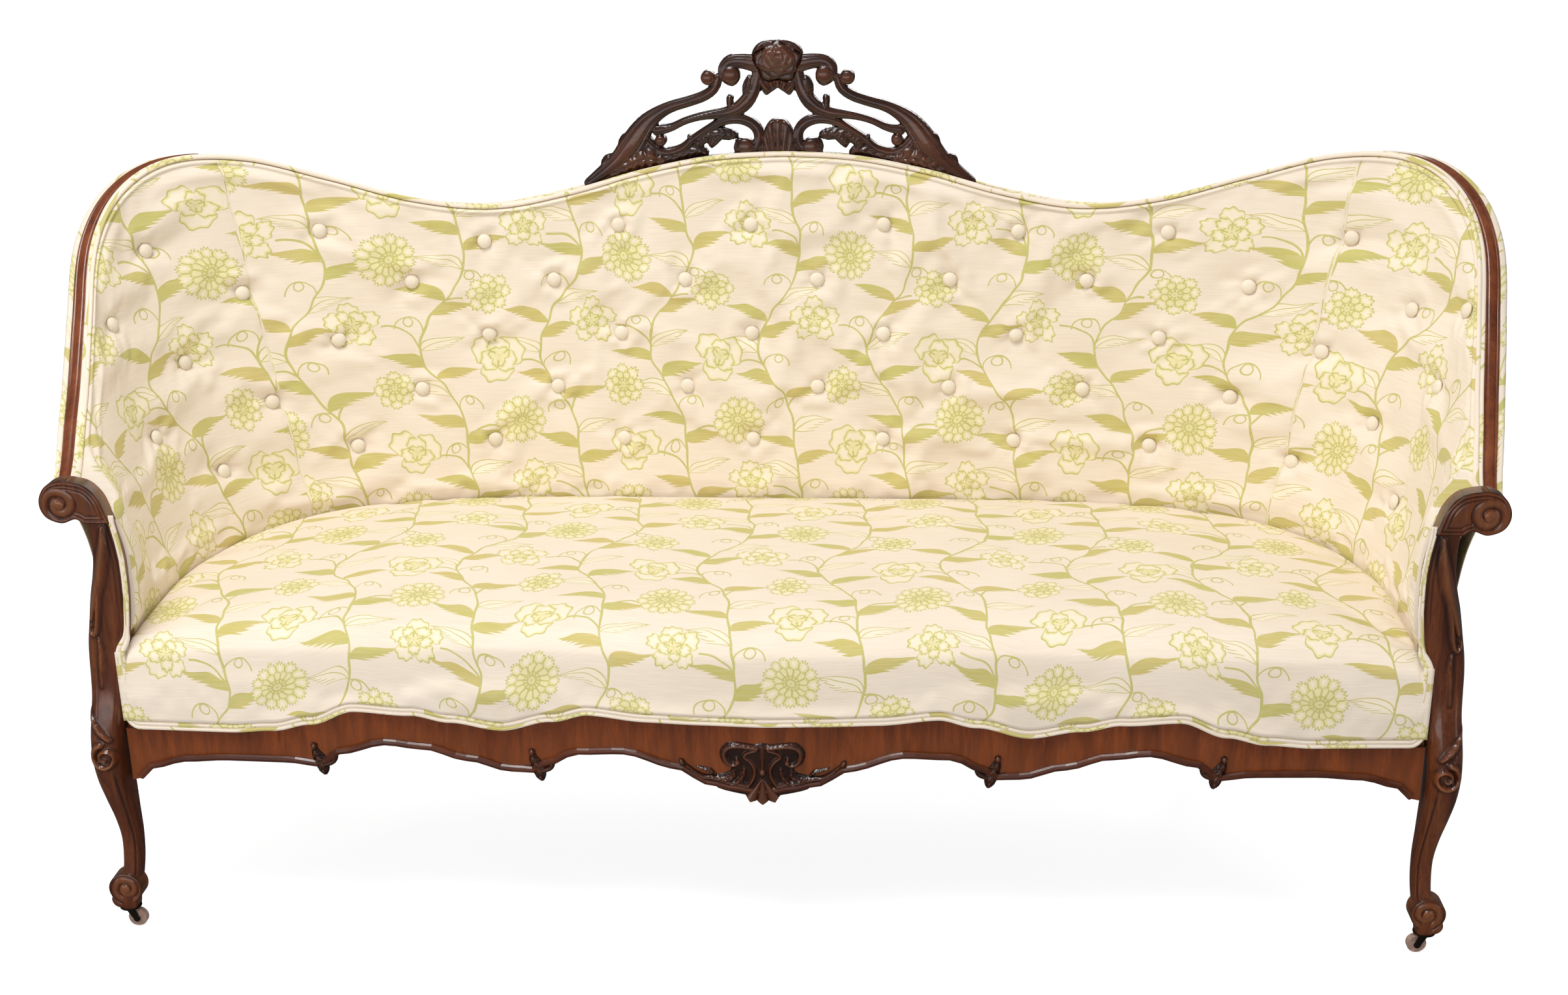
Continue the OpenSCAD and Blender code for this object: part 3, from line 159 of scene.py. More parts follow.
# One material, smooth shading, and edges split where they turn by more than the angle
def shade(piece, material, angle=None):
    mesh = piece.data
    mesh.materials.clear()
    mesh.materials.append(material)
    mesh.polygons.foreach_set("use_smooth", np.ones(len(mesh.polygons), bool))
    if angle:
        piece.modifiers.new("split", "EDGE_SPLIT").split_angle = math.radians(angle)


# Smooth curve through a table, read at any places: each span is the cubic that meets its two rows with slopes
# of half the step between their neighbours
def smooth(table, place):
    table = np.asarray(table, float)
    n = len(table) - 1
    q = np.clip(np.asarray(place, float), 0, n)
    i = np.minimum(np.floor(q).astype(int), n - 1)
    t = q - i
    t = t.reshape(t.shape + (1,) * (table.ndim - 1))
    a, b, c, d = table[np.maximum(i - 1, 0)], table[i], table[i + 1], table[np.minimum(i + 2, n)]
    return 0.5 * (2 * b + (c - a) * t + (2 * a - 5 * b + 4 * c - d) * t * t + (3 * b - a - 3 * c + d) * t ** 3)


# The smooth curve through a table at even steps
def spread(table, steps):
    return smooth(table, np.linspace(0, len(table) - 1, steps + 1))


# 0 to 1 with level ends: t squared times (3 - 2t)
def ease(t):
    t = np.clip(t, 0, 1)
    return t * t * (3 - 2 * t)


# Bell curve: e to the power -(x / wide) squared
def bell(x, wide):
    return np.exp(-(x / wide) ** 2)


# Height of half a ball of radius 1 at q from its middle, 0 outside it
def dome(q):
    return np.sqrt(np.maximum(0, 1 - q * q))


# Second column of a table at x in its first one, eased from row to row
def along(table, x):
    table = np.asarray(table, float)
    i = np.clip(np.searchsorted(table[:, 0], x, side="right") - 1, 0, len(table) - 2)
    t = (x - table[i, 0]) / (table[i + 1, 0] - table[i, 0])
    return table[i, 1] + (table[i + 1, 1] - table[i, 1]) * ease(t)


# Way from the first point along an axis of the array: 0, then the sum of the steps
def lengthRun(points, axis=0):
    return np.insert(np.cumsum(np.linalg.norm(np.diff(points, axis=axis), axis=-1), axis=axis), 0, 0, axis=axis)


# Wall of back and arms, by plan angle a in degrees, height z and layer t outwards
edgeShares = [-0.03, 0.04, 0.157, 0.292, 0.477, 0.715, 0.88, 0.965, 0.95, 0.855, 0.757, 0.722, 0.775,
              0.858, 0.914, 0.93]
centreY = sofa["frontY"] + sofa["postD"] * 0.16
rollH = sofa["wallT"] * 0.15  # height of the rolled top edge
wideTop = sofa["seatHalf"] + sofa["flare"] * 0.94
trimIn = sofa["wallT"] * 0.22  # the show-wood moulding lies between these two layers
trimOut = sofa["wallT"] * 0.7
wingA, crestA = 46.4, 21  # plan angles at the upper end of the moulding and at the end of the crest


# Radius of the superellipse of power 4 whose half sizes are 1
def rho(a):
    return (np.abs(np.sin(np.radians(a))) ** 4 + np.abs(np.cos(np.radians(a))) ** 4) ** -0.25


# Height of the top edge: the arm's, plus a share of the rise to the back from a table every 6 degrees
def edgeAt(a):
    return sofa["armZ"] + (sofa["backZ"] - sofa["armZ"]) * smooth(edgeShares, (90 - np.abs(a)) / 6)


# 0 up to 55 degrees, then the square of the way on to the arm's front end
def forward(a):
    return np.maximum(0, (np.abs(a) - 55) / 35) ** 2


# Plan angle on a wall that is wider than the seat, so that rows along the back stand above each other
def turn(a, wide):
    k = 1 + (sofa["seatHalf"] / wide - 1) * (1 - ease((np.abs(a) - 25) / 35))
    return np.degrees(np.arctan2(np.sin(np.radians(a)) * k, np.cos(np.radians(a))))


# Height of the top edge above plan angle a of the seat
def edge(a):
    return edgeAt(turn(a, wideTop))


# Share of the way from the seat to the top of the back
def lean(z):
    return np.maximum(z - sofa["seatZ"], 0) / (sofa["backZ"] - sofa["seatZ"])


# Half width at a height: the seat's plus the flare times the lean, which rolls over late at the arm's front
def halfX(z, a):
    e, f = lean(edge(a)), forward(a)
    roll = 0.85 * e ** 0.95 * np.minimum(lean(z) / e, 1.1) ** 4
    return sofa["seatHalf"] + sofa["flare"] * (lean(z) ** 0.95 * (1 - f) + roll * f)


# Point of the wall: a superellipse with the half width and half depth of its height, moved out by the layer
def wall(a, z, t):
    a, z, t = np.broadcast_arrays(np.asarray(a, float), np.asarray(z, float), np.asarray(t, float))
    s = t * (1 - 0.2 * forward(a))
    wide = halfX(z, a)
    b = turn(a, wide)
    half = sofa["seatB"] + sofa["rake"] * lean(z)
    return np.stack([(wide + s) * rho(b) * np.sin(np.radians(b)),
                     centreY + (half + s) * rho(b) * np.cos(np.radians(b)), z], -1)


# Arc along the wall at the seat, from the middle of the back to the post
arcA = np.linspace(0, 90, 61)
arcPath = wall(arcA, sofa["seatZ"], 0)
arcS = np.concatenate([[0], np.cumsum(np.linalg.norm(np.diff(arcPath, axis=0), axis=1))])
endA = 90 - math.degrees(math.atan((sofa["postD"] * 0.84 + 0.48) / sofa["seatB"]))
endS = float(np.interp(endA, arcA, arcS))


# Plan angle at the arc place s
def angleAt(s):
    return np.sign(s) * np.interp(np.abs(s), arcS, arcA)


# Front rail, bowed in plan and waved along both edges
bowShares = [1, 0.92, 0.66, 0.3, 0.1, 0.12, 0.36, 0.42, 0.26, 0.1, 0]
topShares = [[0, 0.97], [0.09, 1.02], [0.18, 1.06], [0.27, 1.27], [0.33, 0.82], [0.41, 0.25], [0.49, 0.65],
             [0.55, 1.05], [0.64, 1.29], [0.71, 0.54], [0.77, 0.14], [0.84, -0.03], [1, 0]]
lowShares = [[0, -2.75], [0.045, -2.5], [0.085, -2.23], [0.135, -1.42], [0.217, -0.75], [0.29, -0.9],
             [0.34, -1.6], [0.354, -2.03], [0.4, -2], [0.467, -1.45], [0.537, -0.8], [0.595, -0.54],
             [0.665, -1.05], [0.698, -1.78], [0.75, -1.6], [0.85, -1.6], [0.92, -1.75], [0.97, -2.15], [1, -2.9]]
wave = sofa["railZ"] - sofa["lowZ"] + sofa["postW"] * 0.3
postSide = sofa["seatHalf"] + sofa["postW"] * 0.2
railBack = sofa["frontY"] + 34


# Front face of the rail: out by 20 times a smooth table from the middle to the post
def railY(x):
    return sofa["frontY"] - 20 * smooth(bowShares, np.abs(x) / sofa["seatHalf"] * 10)


# Upper and lower edge of the rail: its height plus the wave times a table
def railTop(x):
    return sofa["railZ"] + wave * along(topShares, np.abs(x) / sofa["seatHalf"])


def railLow(x):
    return sofa["railZ"] + wave * along(lowShares, np.abs(x) / sofa["seatHalf"])


# Front posts: height share, inner and outer edge, front and back, as in the part's source
postLow = [[0, 0.28, 0.83, 0.78, -0.2], [0.057, 0.24, 0.78, 0.78, -0.12], [0.133, 0.16, 0.7, 0.66, 0.04],
           [0.21, 0.13, 0.67, 0.52, 0.18], [0.3, 0.15, 0.7, 0.4, 0.32], [0.39, 0.22, 0.83, 0.4, 0.48],
           [0.483, 0.28, 1.02, 0.46, 0.64], [0.574, 0.33, 1.17, 0.54, 0.76], [0.666, 0.33, 1.24, 0.58, 0.86],
           [0.757, 0.28, 1.24, 0.52, 0.92], [0.848, 0.22, 1.2, 0.36, 0.96], [0.924, 0.2, 1.17, 0.18, 1],
           [1, 0.15, 1.17, 0.06, 1]]
postHigh = [[0.13, 0.02, 1.16, 0, 1], [0.24, -0.1, 1.11, 0, 1], [0.37, -0.2, 1, 0, 1], [0.53, -0.28, 0.85, 0, 0.9],
            [0.66, -0.3, 0.69, 0, 0.78], [0.77, -0.3, 0.59, 0, 0.66], [0.886, -0.24, 0.56, 0, 0.54],
            [1, -0.15, 0.59, 0, 0.45]]
casterZ, postTop = 31.2, 584.84
postRows = np.array([[z0 + (z1 - z0) * r[0], sofa["seatHalf"] + sofa["postW"] * r[1],
                      sofa["seatHalf"] + sofa["postW"] * r[2], sofa["frontY"] - sofa["postD"] * r[3],
                      sofa["frontY"] + sofa["postD"] * r[4]]
                     for rows, z0, z1 in ((postLow, casterZ, sofa["deckZ"]), (postHigh, sofa["deckZ"], postTop))
                     for r in rows])


# Inner edge of the post at a height
def postInner(z):
    return np.interp(z, postRows[:, 0], postRows[:, 1])


# Buttons stand in staggered rows on the inside face; each pulls a deep and a broad dimple with folds round it
tuft = {"gap": 201.0, "row": 83.0, "radius": 11.0, "deep": 8.0, "deepR": 13, "broad": 8.5, "broadR": 42, "swell": 8.5,
        "folds": 7, "fold": 0.10, "crease": 1.6, "creaseWide": 7, "creaseLong": 30, "limit": 6.5}
rowStart = sofa["seatZ"] + tuft["row"] * 1.12


# Height of half row k above plan angle a: even steps, lowered near the top where the edge comes down
def rowZ(a, k):
    plain = rowStart + (k - 1) * tuft["row"] / 2
    drop = np.maximum(rowStart + 8 * tuft["row"] / 2 - edge(a) + tuft["row"] * 0.6, 0)
    return np.minimum(plain - drop * np.clip((k - 9) / 2 + 1, 0, 1),
                      edge(a) - rollH * 1.4 - (11 - k) * tuft["row"] * 0.03)


# Arc place, plan angle and height of each button that stands clear of the posts and the top edge
def buttonPlaces():
    found = []
    for k in (1, 3, 5, 7, 9):
        for i in range(-6, 7):
            s = -tuft["gap"] / 4 + tuft["gap"] * (i + (0.5 if k % 4 == 3 else 0))
            a = float(angleAt(s))
            z = float(rowZ(a, k))
            if abs(s) < endS * 0.83 and edge(a) - z > tuft["row"] * 0.5:
                found.append((s, a, z))
    return np.array(found)


buttons = buttonPlaces()


# Cloth pulled over a coarse grid: pinned where pins is 1, blown out a little, and read back as moves in millimetres
def clothMoves(rest, pins, pressure, slack, cap, frames=20):
    n, m = rest.shape[:2]
    piece = meshFrom("cloth_trial", rest, gridQuads(n, m, False))
    group = piece.vertex_groups.new(name="pin")
    group.add([int(v) for v in np.flatnonzero(pins.ravel() > 0.5)], 1.0, "ADD")
    cloth = piece.modifiers.new("cloth", "CLOTH")
    cloth.settings.vertex_group_mass = "pin"
    cloth.settings.quality = 6
    cloth.settings.mass = 0.3
    cloth.settings.tension_stiffness = 25
    cloth.settings.compression_stiffness = 25
    cloth.settings.shear_stiffness = 15
    cloth.settings.bending_stiffness = 0.6
    cloth.settings.shrink_min = -slack
    cloth.settings.use_pressure = True
    cloth.settings.uniform_pressure_force = pressure
    cloth.settings.effector_weights.gravity = 0
    cloth.collision_settings.use_collision = False
    cloth.point_cache.frame_start = 1
    cloth.point_cache.frame_end = frames
    for number in range(1, frames + 1):
        bpy.context.scene.frame_set(number)
    bare = piece.evaluated_get(bpy.context.evaluated_depsgraph_get())
    found = np.zeros(n * m * 3, np.float32)
    bare.data.vertices.foreach_get("co", found)
    bpy.data.objects.remove(piece)
    bpy.context.scene.frame_set(1)
    moves = found.reshape(n, m, 3) * 1000 - rest
    size = np.linalg.norm(moves, axis=-1, keepdims=True)
    return moves * np.minimum(1, cap / np.maximum(size, 1e-6))


# Weights that read a coarse row of values at finer places, as a smooth curve
def weights(coarse, places):
    return smooth(np.eye(coarse), places * (coarse - 1))


# Coarse moves at finer rows and columns: weights of the rows times the moves times weights of the columns
def finer(moves, rows, columns):
    up = weights(moves.shape[0], rows)
    over = weights(moves.shape[1], columns)
    return np.einsum("ai,ijk,bj->abk", up, moves, over, optimize=True)


# Depth at arc place s and height z: bells at every button, and a crease on the line to each button of the next
# row, which is deepest at both ends
def tufting(s, z):
    pulled = np.zeros(np.broadcast(s, z).shape)
    crease = np.zeros_like(pulled)
    for sb, zb in buttons[:, [0, 2]]:
        dx, dz = s - sb, z - zb
        r = np.hypot(dx, dz)
        star = 1 + tuft["fold"] * np.cos(np.arctan2(dz, dx) * tuft["folds"] + sb) * bell(r - 20, 14)
        pulled = pulled + tuft["deep"] * bell(r, tuft["deepR"]) + tuft["broad"] * bell(r, tuft["broadR"]) * star
        for sc, zc in buttons[:, [0, 2]]:
            if 20 < zc - zb < 100 and abs(sc - sb) < 120:
                span = math.hypot(sc - sb, zc - zb)
                ux, uz = (sc - sb) / span, (zc - zb) / span
                p = dx * ux + dz * uz
                near = np.exp(-np.minimum(np.abs(p), np.abs(span - p)) / tuft["creaseLong"])
                line = tuft["crease"] * near * bell(dz * ux - dx * uz, tuft["creaseWide"])
                crease = np.maximum(crease, np.where((p > 0) & (p < span), line, 0))
    return pulled + crease


print("helpers ready")

# Inside cover of back and arms; the print starts afresh at the two seams, moved along by panel
innerCover = {"columns": 561, "rows": 137, "past": 34, "seamAt": 745, "seamWide": 2.5, "seamDeep": 2.2,
              "panel": 137.0, "behind": 7.0, "grid": (151, 41), "pressure": 1.2, "slack": 0.012, "cap": 7}
# Top edge as pairs of a layer and a drop: the layer is a share of 14 in front and of the flap behind
innerRoll = np.array([[-0.32, 0.85], [-0.2, 0.5], [-0.05, 0.26], [0.1, 0.14], [0.35, 0.06], [0.62, 0.08], [1, 0.14]])


# Height and layer of the face at a share of its height: out by the swelling, in by the tufting
def innerFace(share, s, top):
    z = sofa["deckZ"] + (top - sofa["deckZ"]) * share
    swell = tuft["swell"] * ease((z - sofa["seatZ"]) / 40 + 0.3) * ease((top - z) / 30 + 0.35)
    t = -swell + tufting(s, z) * ease((z - sofa["seatZ"] + 30) / 40)
    return z, np.minimum(t, tuft["limit"])


# Towards the posts the stuffing comes in to the wood's inner edge
def postReach(s, a, z):
    near = ease((np.abs(s) - endS + 75) / 90) ** 1.5 * ease((z - 400) / 30)
    return np.maximum(halfX(z, np.abs(a)) - postInner(z) + 1.5, 0) * near


# Rings along the wall: up the tufted face, over the rolled top edge and down behind the stuffing
def insideBack():
    count, rows = innerCover["columns"], innerCover["rows"]
    s = np.linspace(-endS - innerCover["past"], endS + innerCover["past"], count)
    a = np.clip(np.where(np.abs(s) <= endS, angleAt(s),
                         np.sign(s) * (endA + (90 - endA) * (np.abs(s) - endS) / 50)), -90, 90)
    e = edge(a)
    z0, top = sofa["deckZ"], e - rollH * 1.1
    picks = np.linspace(0, count - 1, innerCover["grid"][0]).astype(int)
    sc, ac = s[picks, None], a[picks, None]
    zc, tc = innerFace(np.linspace(0, 1, innerCover["grid"][1]), sc, top[picks, None])
    pins = np.zeros(zc.shape)
    pins[[0, -1], :] = 1
    pins[:, [0, -1]] = 1
    pins[zc < sofa["seatZ"]] = 1
    for sb, zb in buttons[:, [0, 2]]:
        pins[np.hypot(sc - sb, zc - zb) < tuft["radius"]] = 1
    moves = clothMoves(wall(ac, zc, tc - postReach(sc, ac, zc)), pins,
                       innerCover["pressure"], innerCover["slack"], innerCover["cap"])
    share = np.linspace(0, 1, rows)
    z, t = innerFace(share, s[:, None], top[:, None])
    seam = bell(np.abs(s) - innerCover["seamAt"], innerCover["seamWide"])[:, None] * ease((z - 440) / 30)
    t = np.minimum(t + seam * innerCover["seamDeep"], tuft["limit"] + 0.3) - postReach(s[:, None], a[:, None], z)
    front = wall(a[:, None], z, t) + finer(moves, (s - s[0]) / (s[-1] - s[0]), share)
    flap = np.where((np.abs(a) >= wingA - 0.1) | (np.abs(a) < crestA), trimIn - 0.5, sofa["wallT"] * 0.65)
    layer, drop = innerRoll.T
    over = wall(a[:, None], e[:, None] - rollH * drop, np.where(layer < 0, layer * 14, layer * flap[:, None]))
    behind = np.stack([wall(a, e - rollH, flap)] + [wall(a, z0 + (e - rollH - z0) * f, innerCover["behind"])
                                                   for f in (1, 0.8, 0.6, 0.4, 0.2, 0)], 1)
    rings = np.concatenate([front, over, behind], 1)
    length = lengthRun(np.concatenate([rings, rings[:, :1]], 1), 1)
    length[:, :rows] = z - z0
    length[:, rows:] += length[:, rows - 1:rows] - length[:, rows:rows + 1] + 2
    panel = np.where(np.abs(s) > innerCover["seamAt"], innerCover["panel"] * np.sign(s), 0)
    uv = np.stack([np.broadcast_to((s + panel)[:, None], length.shape), length], -1)
    return skin("inside_back", rings, uv)


inside = insideBack()
print("inside back", len(inside.data.polygons))

# Seat cover over its stuffing
seatSizes = {"columns": 421, "rows": 161, "over": 6.0, "inset": 1.6, "crown": 20.2, "edgeR": 41.4, "fall": 13.8,
             "printAt": 61, "pressure": 0.5, "slack": 0.004, "cap": 4}


# Sections from side to side, each a smooth curve: up behind, over the crown, round the front edge, down to the rail
def seatCover():
    half, count, rows = sofa["seatHalf"], seatSizes["columns"], seatSizes["rows"]
    x = np.linspace(-(postSide - 0.5), postSide - 0.5, count)
    inner = half - seatSizes["inset"]
    bulge = np.clip(1 - (np.abs(x) / inner) ** 4, 0, 1)
    yf = railY(x) - seatSizes["over"]
    yb = centreY + (sofa["seatB"] - seatSizes["inset"]) * bulge ** 0.25
    r = np.minimum(seatSizes["edgeR"], (yb - yf) * 0.6)
    crown = seatSizes["crown"] * np.maximum(1 - (np.abs(x) / half) ** 8, 0)
    base = sofa["seatZ"] - seatSizes["fall"] * np.minimum(np.abs(x) / half, 1) ** 6
    blend = ease((np.abs(x) - half + 8) / 8)
    base = base * (1 - blend) + (sofa["seatZ"] - sofa["wallT"] * 0.52 - 2) * blend
    deck, foot = sofa["deckZ"] + 1.3 + 0 * x, railTop(x) + 14.4
    shoulder, dip = crown * 0.55, r * 0.094
    table = [(yb, deck), (yb, base - 8.3)]
    for f in (0.03, 0.2, 0.45, 0.7, 0.85, 0.93, 0.975):
        lift = crown * math.sin(math.pi * min(f * 0.85 + 0.03, 0.75)) ** 0.8 if f < 0.8 else \
            shoulder - dip + (crown * 0.389 + dip) * (1 - (1 - (1 - f) / 0.3) ** 3)
        table.append((yb + (yf + r * 0.6 - yb) * f, base + lift))
    for a in np.radians([25, 55, 85]):
        table.append((yf + r * (1 - math.sin(a)), base + shoulder - r * (1 - math.cos(a))))
    table = np.stack([np.stack(row, 1) for row in table + [(yf, foot)]])
    steps = np.linalg.norm(np.diff(spread(table, 400), axis=0), axis=2).mean(1)
    run = np.insert(np.cumsum(steps), 0, 0)
    places = np.interp(np.linspace(0, run[-1], rows), run, np.linspace(0, len(table) - 1, 401))
    section = smooth(table, places).transpose(1, 0, 2)
    front = np.concatenate([np.broadcast_to(x[:, None, None], (count, rows, 1)), section], 2)
    rest = front[::4, ::4]
    pins = np.zeros(rest.shape[:2])
    pins[[0, -1], :] = 1
    pins[:, [0, 1, -1]] = 1
    moves = clothMoves(rest, pins, seatSizes["pressure"], seatSizes["slack"], seatSizes["cap"])
    front = front + finer(moves, np.linspace(0, 1, count), np.linspace(0, 1, rows))
    core = railY(x) + 7.5
    under = np.stack([np.stack([x, y, z], 1) for y, z in ((core, foot), (core, deck), ((core + yb) / 2, deck))], 1)
    rings = np.concatenate([front, under], 1)
    length = lengthRun(np.concatenate([rings, rings[:, :1]], 1), 1)
    across = np.broadcast_to(x[:, None] + seatSizes["printAt"], length.shape)
    return skin("seat", rings, np.stack([across, length[:, rows - 1:rows] - length], -1))


seat = seatCover()
print("seat", len(seat.data.polygons))

# Outside covers: one thickness of cloth over the padding, turned in over the top edge
outsideSizes = {"thick": 1.5, "puff": 3.4, "rows": 90, "perDegree": 3.4, "underCrest": 34.3}
# Turned edge as rows of a layer share, its factor and a height in rolls
outsideTurned = np.array([[1, 0.985, -0.3], [0.65, 1, 0.1], [0.4, 1, 0.16], [0.15, 1, 0.1], [0, 1, 0.02]])


# Rings up the outer face, over the edge and back inside by the thickness; gives the piece, its flat size and area
def outsideCover(name, a0, a1):
    count, thick = int(abs(a1 - a0) * outsideSizes["perDegree"]) + 2, outsideSizes["thick"]
    a = np.linspace(a0, a1, count)
    e = edge(a)[:, None]
    start = np.where(np.abs(a) >= wingA - 0.1, trimOut + 1.9,
                     np.where(np.abs(a) < crestA, outsideSizes["underCrest"], sofa["wallT"] * 0.65))[:, None]
    share = np.linspace(0, 1, outsideSizes["rows"])
    z = sofa["lowZ"] + (e - rollH * 1.2 - sofa["lowZ"]) * share
    across = np.sin(math.pi * np.arange(count) / (count - 1))[:, None] ** 0.4
    t = sofa["wallT"] - 0.6 + outsideSizes["puff"] * np.sin(math.pi * share) ** 0.6 * across
    layer, factor, rise = outsideTurned.T
    over = start * (1 - layer) + sofa["wallT"] * layer * factor
    high = e + rollH * rise
    out = wall(a[:, None], np.concatenate([z, high], 1), np.concatenate([t, over], 1))
    low = np.concatenate([z, high - thick * (1 - layer * 0.6)], 1)
    back = wall(a[:, None], low, np.concatenate([t - thick, over - thick * layer], 1))[:, ::-1]
    arc = lengthRun(out[:, 40])
    up = lengthRun(out, 1)
    up = np.concatenate([up, up[:, ::-1], up[:, :1]], 1)
    area = float(np.linalg.norm(np.cross(out[1:, :-1] - out[:-1, :-1], out[:-1, 1:] - out[:-1, :-1]), axis=2).sum())
    uv = np.stack([np.broadcast_to(arc[:, None], up.shape), up], -1)
    piece = skin(name, np.concatenate([out, back], 1), uv)
    return piece, (round(arc[-1] / 1000 + 0.02, 3), round(up.max() / 1000 + 0.01, 3)), area / 1e6


outsideCuts = [outsideCover("outside_back_cover", -wingA, wingA),
               outsideCover("outside_arm_cover_left", -endA, -wingA),
               outsideCover("outside_arm_cover_right", wingA, endA)]

# Double cords: two round cords side by side in one cover
cord = {"radius": 3.2, "apart": 0.96, "bend": 15, "rise": 22, "thin": 0.42}
turnA = np.radians(np.concatenate([np.linspace(28, 332, 11), np.linspace(208, 512, 11)]))
cordShape = np.stack([np.repeat([-cord["apart"], cord["apart"]], 11) + np.cos(turnA), np.sin(turnA)], 1)


# A section carried along a path, square to it; out points away from the sofa
def sweep(name, path, section, out, grow):
    way = np.gradient(path, axis=0)
    way /= np.linalg.norm(way, axis=1, keepdims=True)
    side = np.cross(np.broadcast_to(np.asarray(out, float), path.shape), way)
    side /= np.linalg.norm(side, axis=1, keepdims=True)
    third = np.cross(way, side)
    rings = path[:, None] + grow[:, None, None] * (side[:, None] * section[None, :, :1]
                                                   + third[:, None] * section[None, :, 1:])
    girth = lengthRun(np.concatenate([section, section[:1]]))
    return skin(name, rings, np.stack(np.broadcast_arrays(lengthRun(path)[:, None], girth), -1))


# The double cord runs along the rail, turns up inside the posts and thins out towards the scrolls
def seatCordPath():
    radius = cord["radius"]
    end = postSide - radius * 2.1
    xs = np.linspace(0, end - cord["bend"], 210)
    y = sofa["frontY"] - 6 + radius
    run = np.stack([xs, railY(xs) - 6 + radius, railTop(xs) + radius * 2.15], 1)
    foot = run[-1, 2]
    bend = np.radians(np.linspace(6, 90, 14))[:, None]
    arc = np.concatenate([end - cord["bend"] * (1 - np.sin(bend)), 0 * bend + y,
                          foot + cord["rise"] * (1 - np.cos(bend))], 1)
    zs = np.linspace(foot + cord["rise"] + 2, 596, 130)
    rise = ease((zs - 398) / 26)
    up = np.stack([end * (1 - rise) + (postInner(zs) - radius * 0.4) * rise, y + rise * 4.5, zs], 1)
    half = np.concatenate([run[1:], arc, up])
    thin = np.concatenate([np.ones(len(run) - 1 + len(arc)), 1 - cord["thin"] * ease((zs - 412) / 24)])
    return np.concatenate([half[::-1] * [-1, 1, 1], run[:1], half]), np.concatenate([thin[::-1], [1], thin])


# The back's double cord is laid along the wall's top edge
def backCordSkin():
    s = np.linspace(-endS, endS, 601)
    a = angleAt(s)[:, None]
    radius = cord["radius"]
    rings = wall(a, edge(a) + radius * (0.85 + cordShape[:, 1]), trimIn - radius * 2.2 + radius * cordShape[:, 0])
    return skin("back_cord", rings, np.stack(np.broadcast_arrays(s[:, None], np.arange(23) * 1.2), -1))


cordPath, cordThin = seatCordPath()
seatCord = sweep("seat_cord", cordPath, cordShape * cord["radius"], [0, -1, 0], cordThin)
backCord = backCordSkin()

# Covered buttons as pairs of a radius and a height in shares of the button's radius
buttonShape = np.array([[0.02, 0.53], [0.3, 0.51], [0.55, 0.45], [0.78, 0.33], [0.93, 0.16], [1, 0.02], [0.96, -0.1],
                        [0.7, -0.2], [0.02, -0.22]]) * tuft["radius"]


# The shape is spun round the line that points out of the wall at each button
def buttonDomes():
    spin = np.radians(np.arange(0, 360, 15))
    n, m = len(buttonShape), len(spin)
    points, fans = [], []
    for k, (s, a, z) in enumerate(buttons):
        across = wall(a + 1, z, 0) - wall(a - 1, z, 0)
        out = np.cross(across, wall(a, z + 41, 0) - wall(a, z - 41, 0))
        out /= np.linalg.norm(out)
        u = across / np.linalg.norm(across)
        v = np.cross(out, u)
        ring = np.cos(spin)[:, None] * u + np.sin(spin)[:, None] * v
        points.append(wall(a, z, 2.9) + buttonShape[:, None, :1] * ring + buttonShape[:, None, 1:] * out)
        fans += [np.arange(m)[::-1] + k * n * m, np.arange(m) + (k + 1) * n * m - m]
    quads = gridQuads(n, m)[None] + (np.arange(len(points)) * n * m)[:, None, None]
    return meshFrom("covered_buttons", points, quads.reshape(-1, 4), fans=fans)


studs = buttonDomes()
print("covers and cords ready")


# Show-wood moulding from arm scroll to shoulder: three half-round beads across, carried along the top edge
def moulding(name, a0, a1):
    a = np.linspace(a0, a1, 260)[:, None]
    q = np.linspace(0, 1, 41)
    rise = np.maximum.reduce([low + high * dome((q - middle) / wide) for low, high, middle, wide in
                              ((0.012, 0.045, 0.08, 0.08), (0.02, 0.075, 0.5, 0.29), (0.012, 0.045, 0.92, 0.08))])
    shape = np.concatenate([np.stack([q * 0.48, rise], 1), [[0.48, -0.05], [0.48, -0.13], [0, -0.13], [0, -0.05]]])
    rings = wall(a, edge(a) + sofa["wallT"] * shape[:, 1], trimIn + sofa["wallT"] * shape[:, 0])
    run = lengthRun(rings[:, 20])[:, None]
    return skin(name, rings, np.stack(np.broadcast_arrays(run, np.arange(len(shape) + 1) * 0.6), -1))


wings = [moulding("show_wood_left", -endA, -wingA), moulding("show_wood_right", wingA, endA)]


# Distance, place along and half width of the nearest part of a stroke given as rows of x, z, width
def nearStroke(x, z, rows, steps):
    line = spread(rows, steps)
    best = np.full(x.shape, 1e9)
    side, place, half = np.zeros(x.shape), np.zeros(x.shape), np.ones(x.shape)
    for k in range(steps):
        (x0, z0, w0), (x1, z1, w1) = line[k, :3], line[k + 1, :3]
        dx, dz = x1 - x0, z1 - z0
        size = max(dx * dx + dz * dz, 1e-9)
        t = np.clip(((x - x0) * dx + (z - z0) * dz) / size, 0, 1)
        px, pz = x - x0 - dx * t, z - z0 - dz * t
        far = np.hypot(px, pz)
        wide = (w0 + (w1 - w0) * t) / 2
        score = far - wide
        better = score < best
        best = np.where(better, score, best)
        side = np.where(better, np.sign(dx * pz - dz * px) * far, side)
        place = np.where(better, (k + t) / steps, place)
        half = np.where(better, wide, half)
    return best, side, place, half


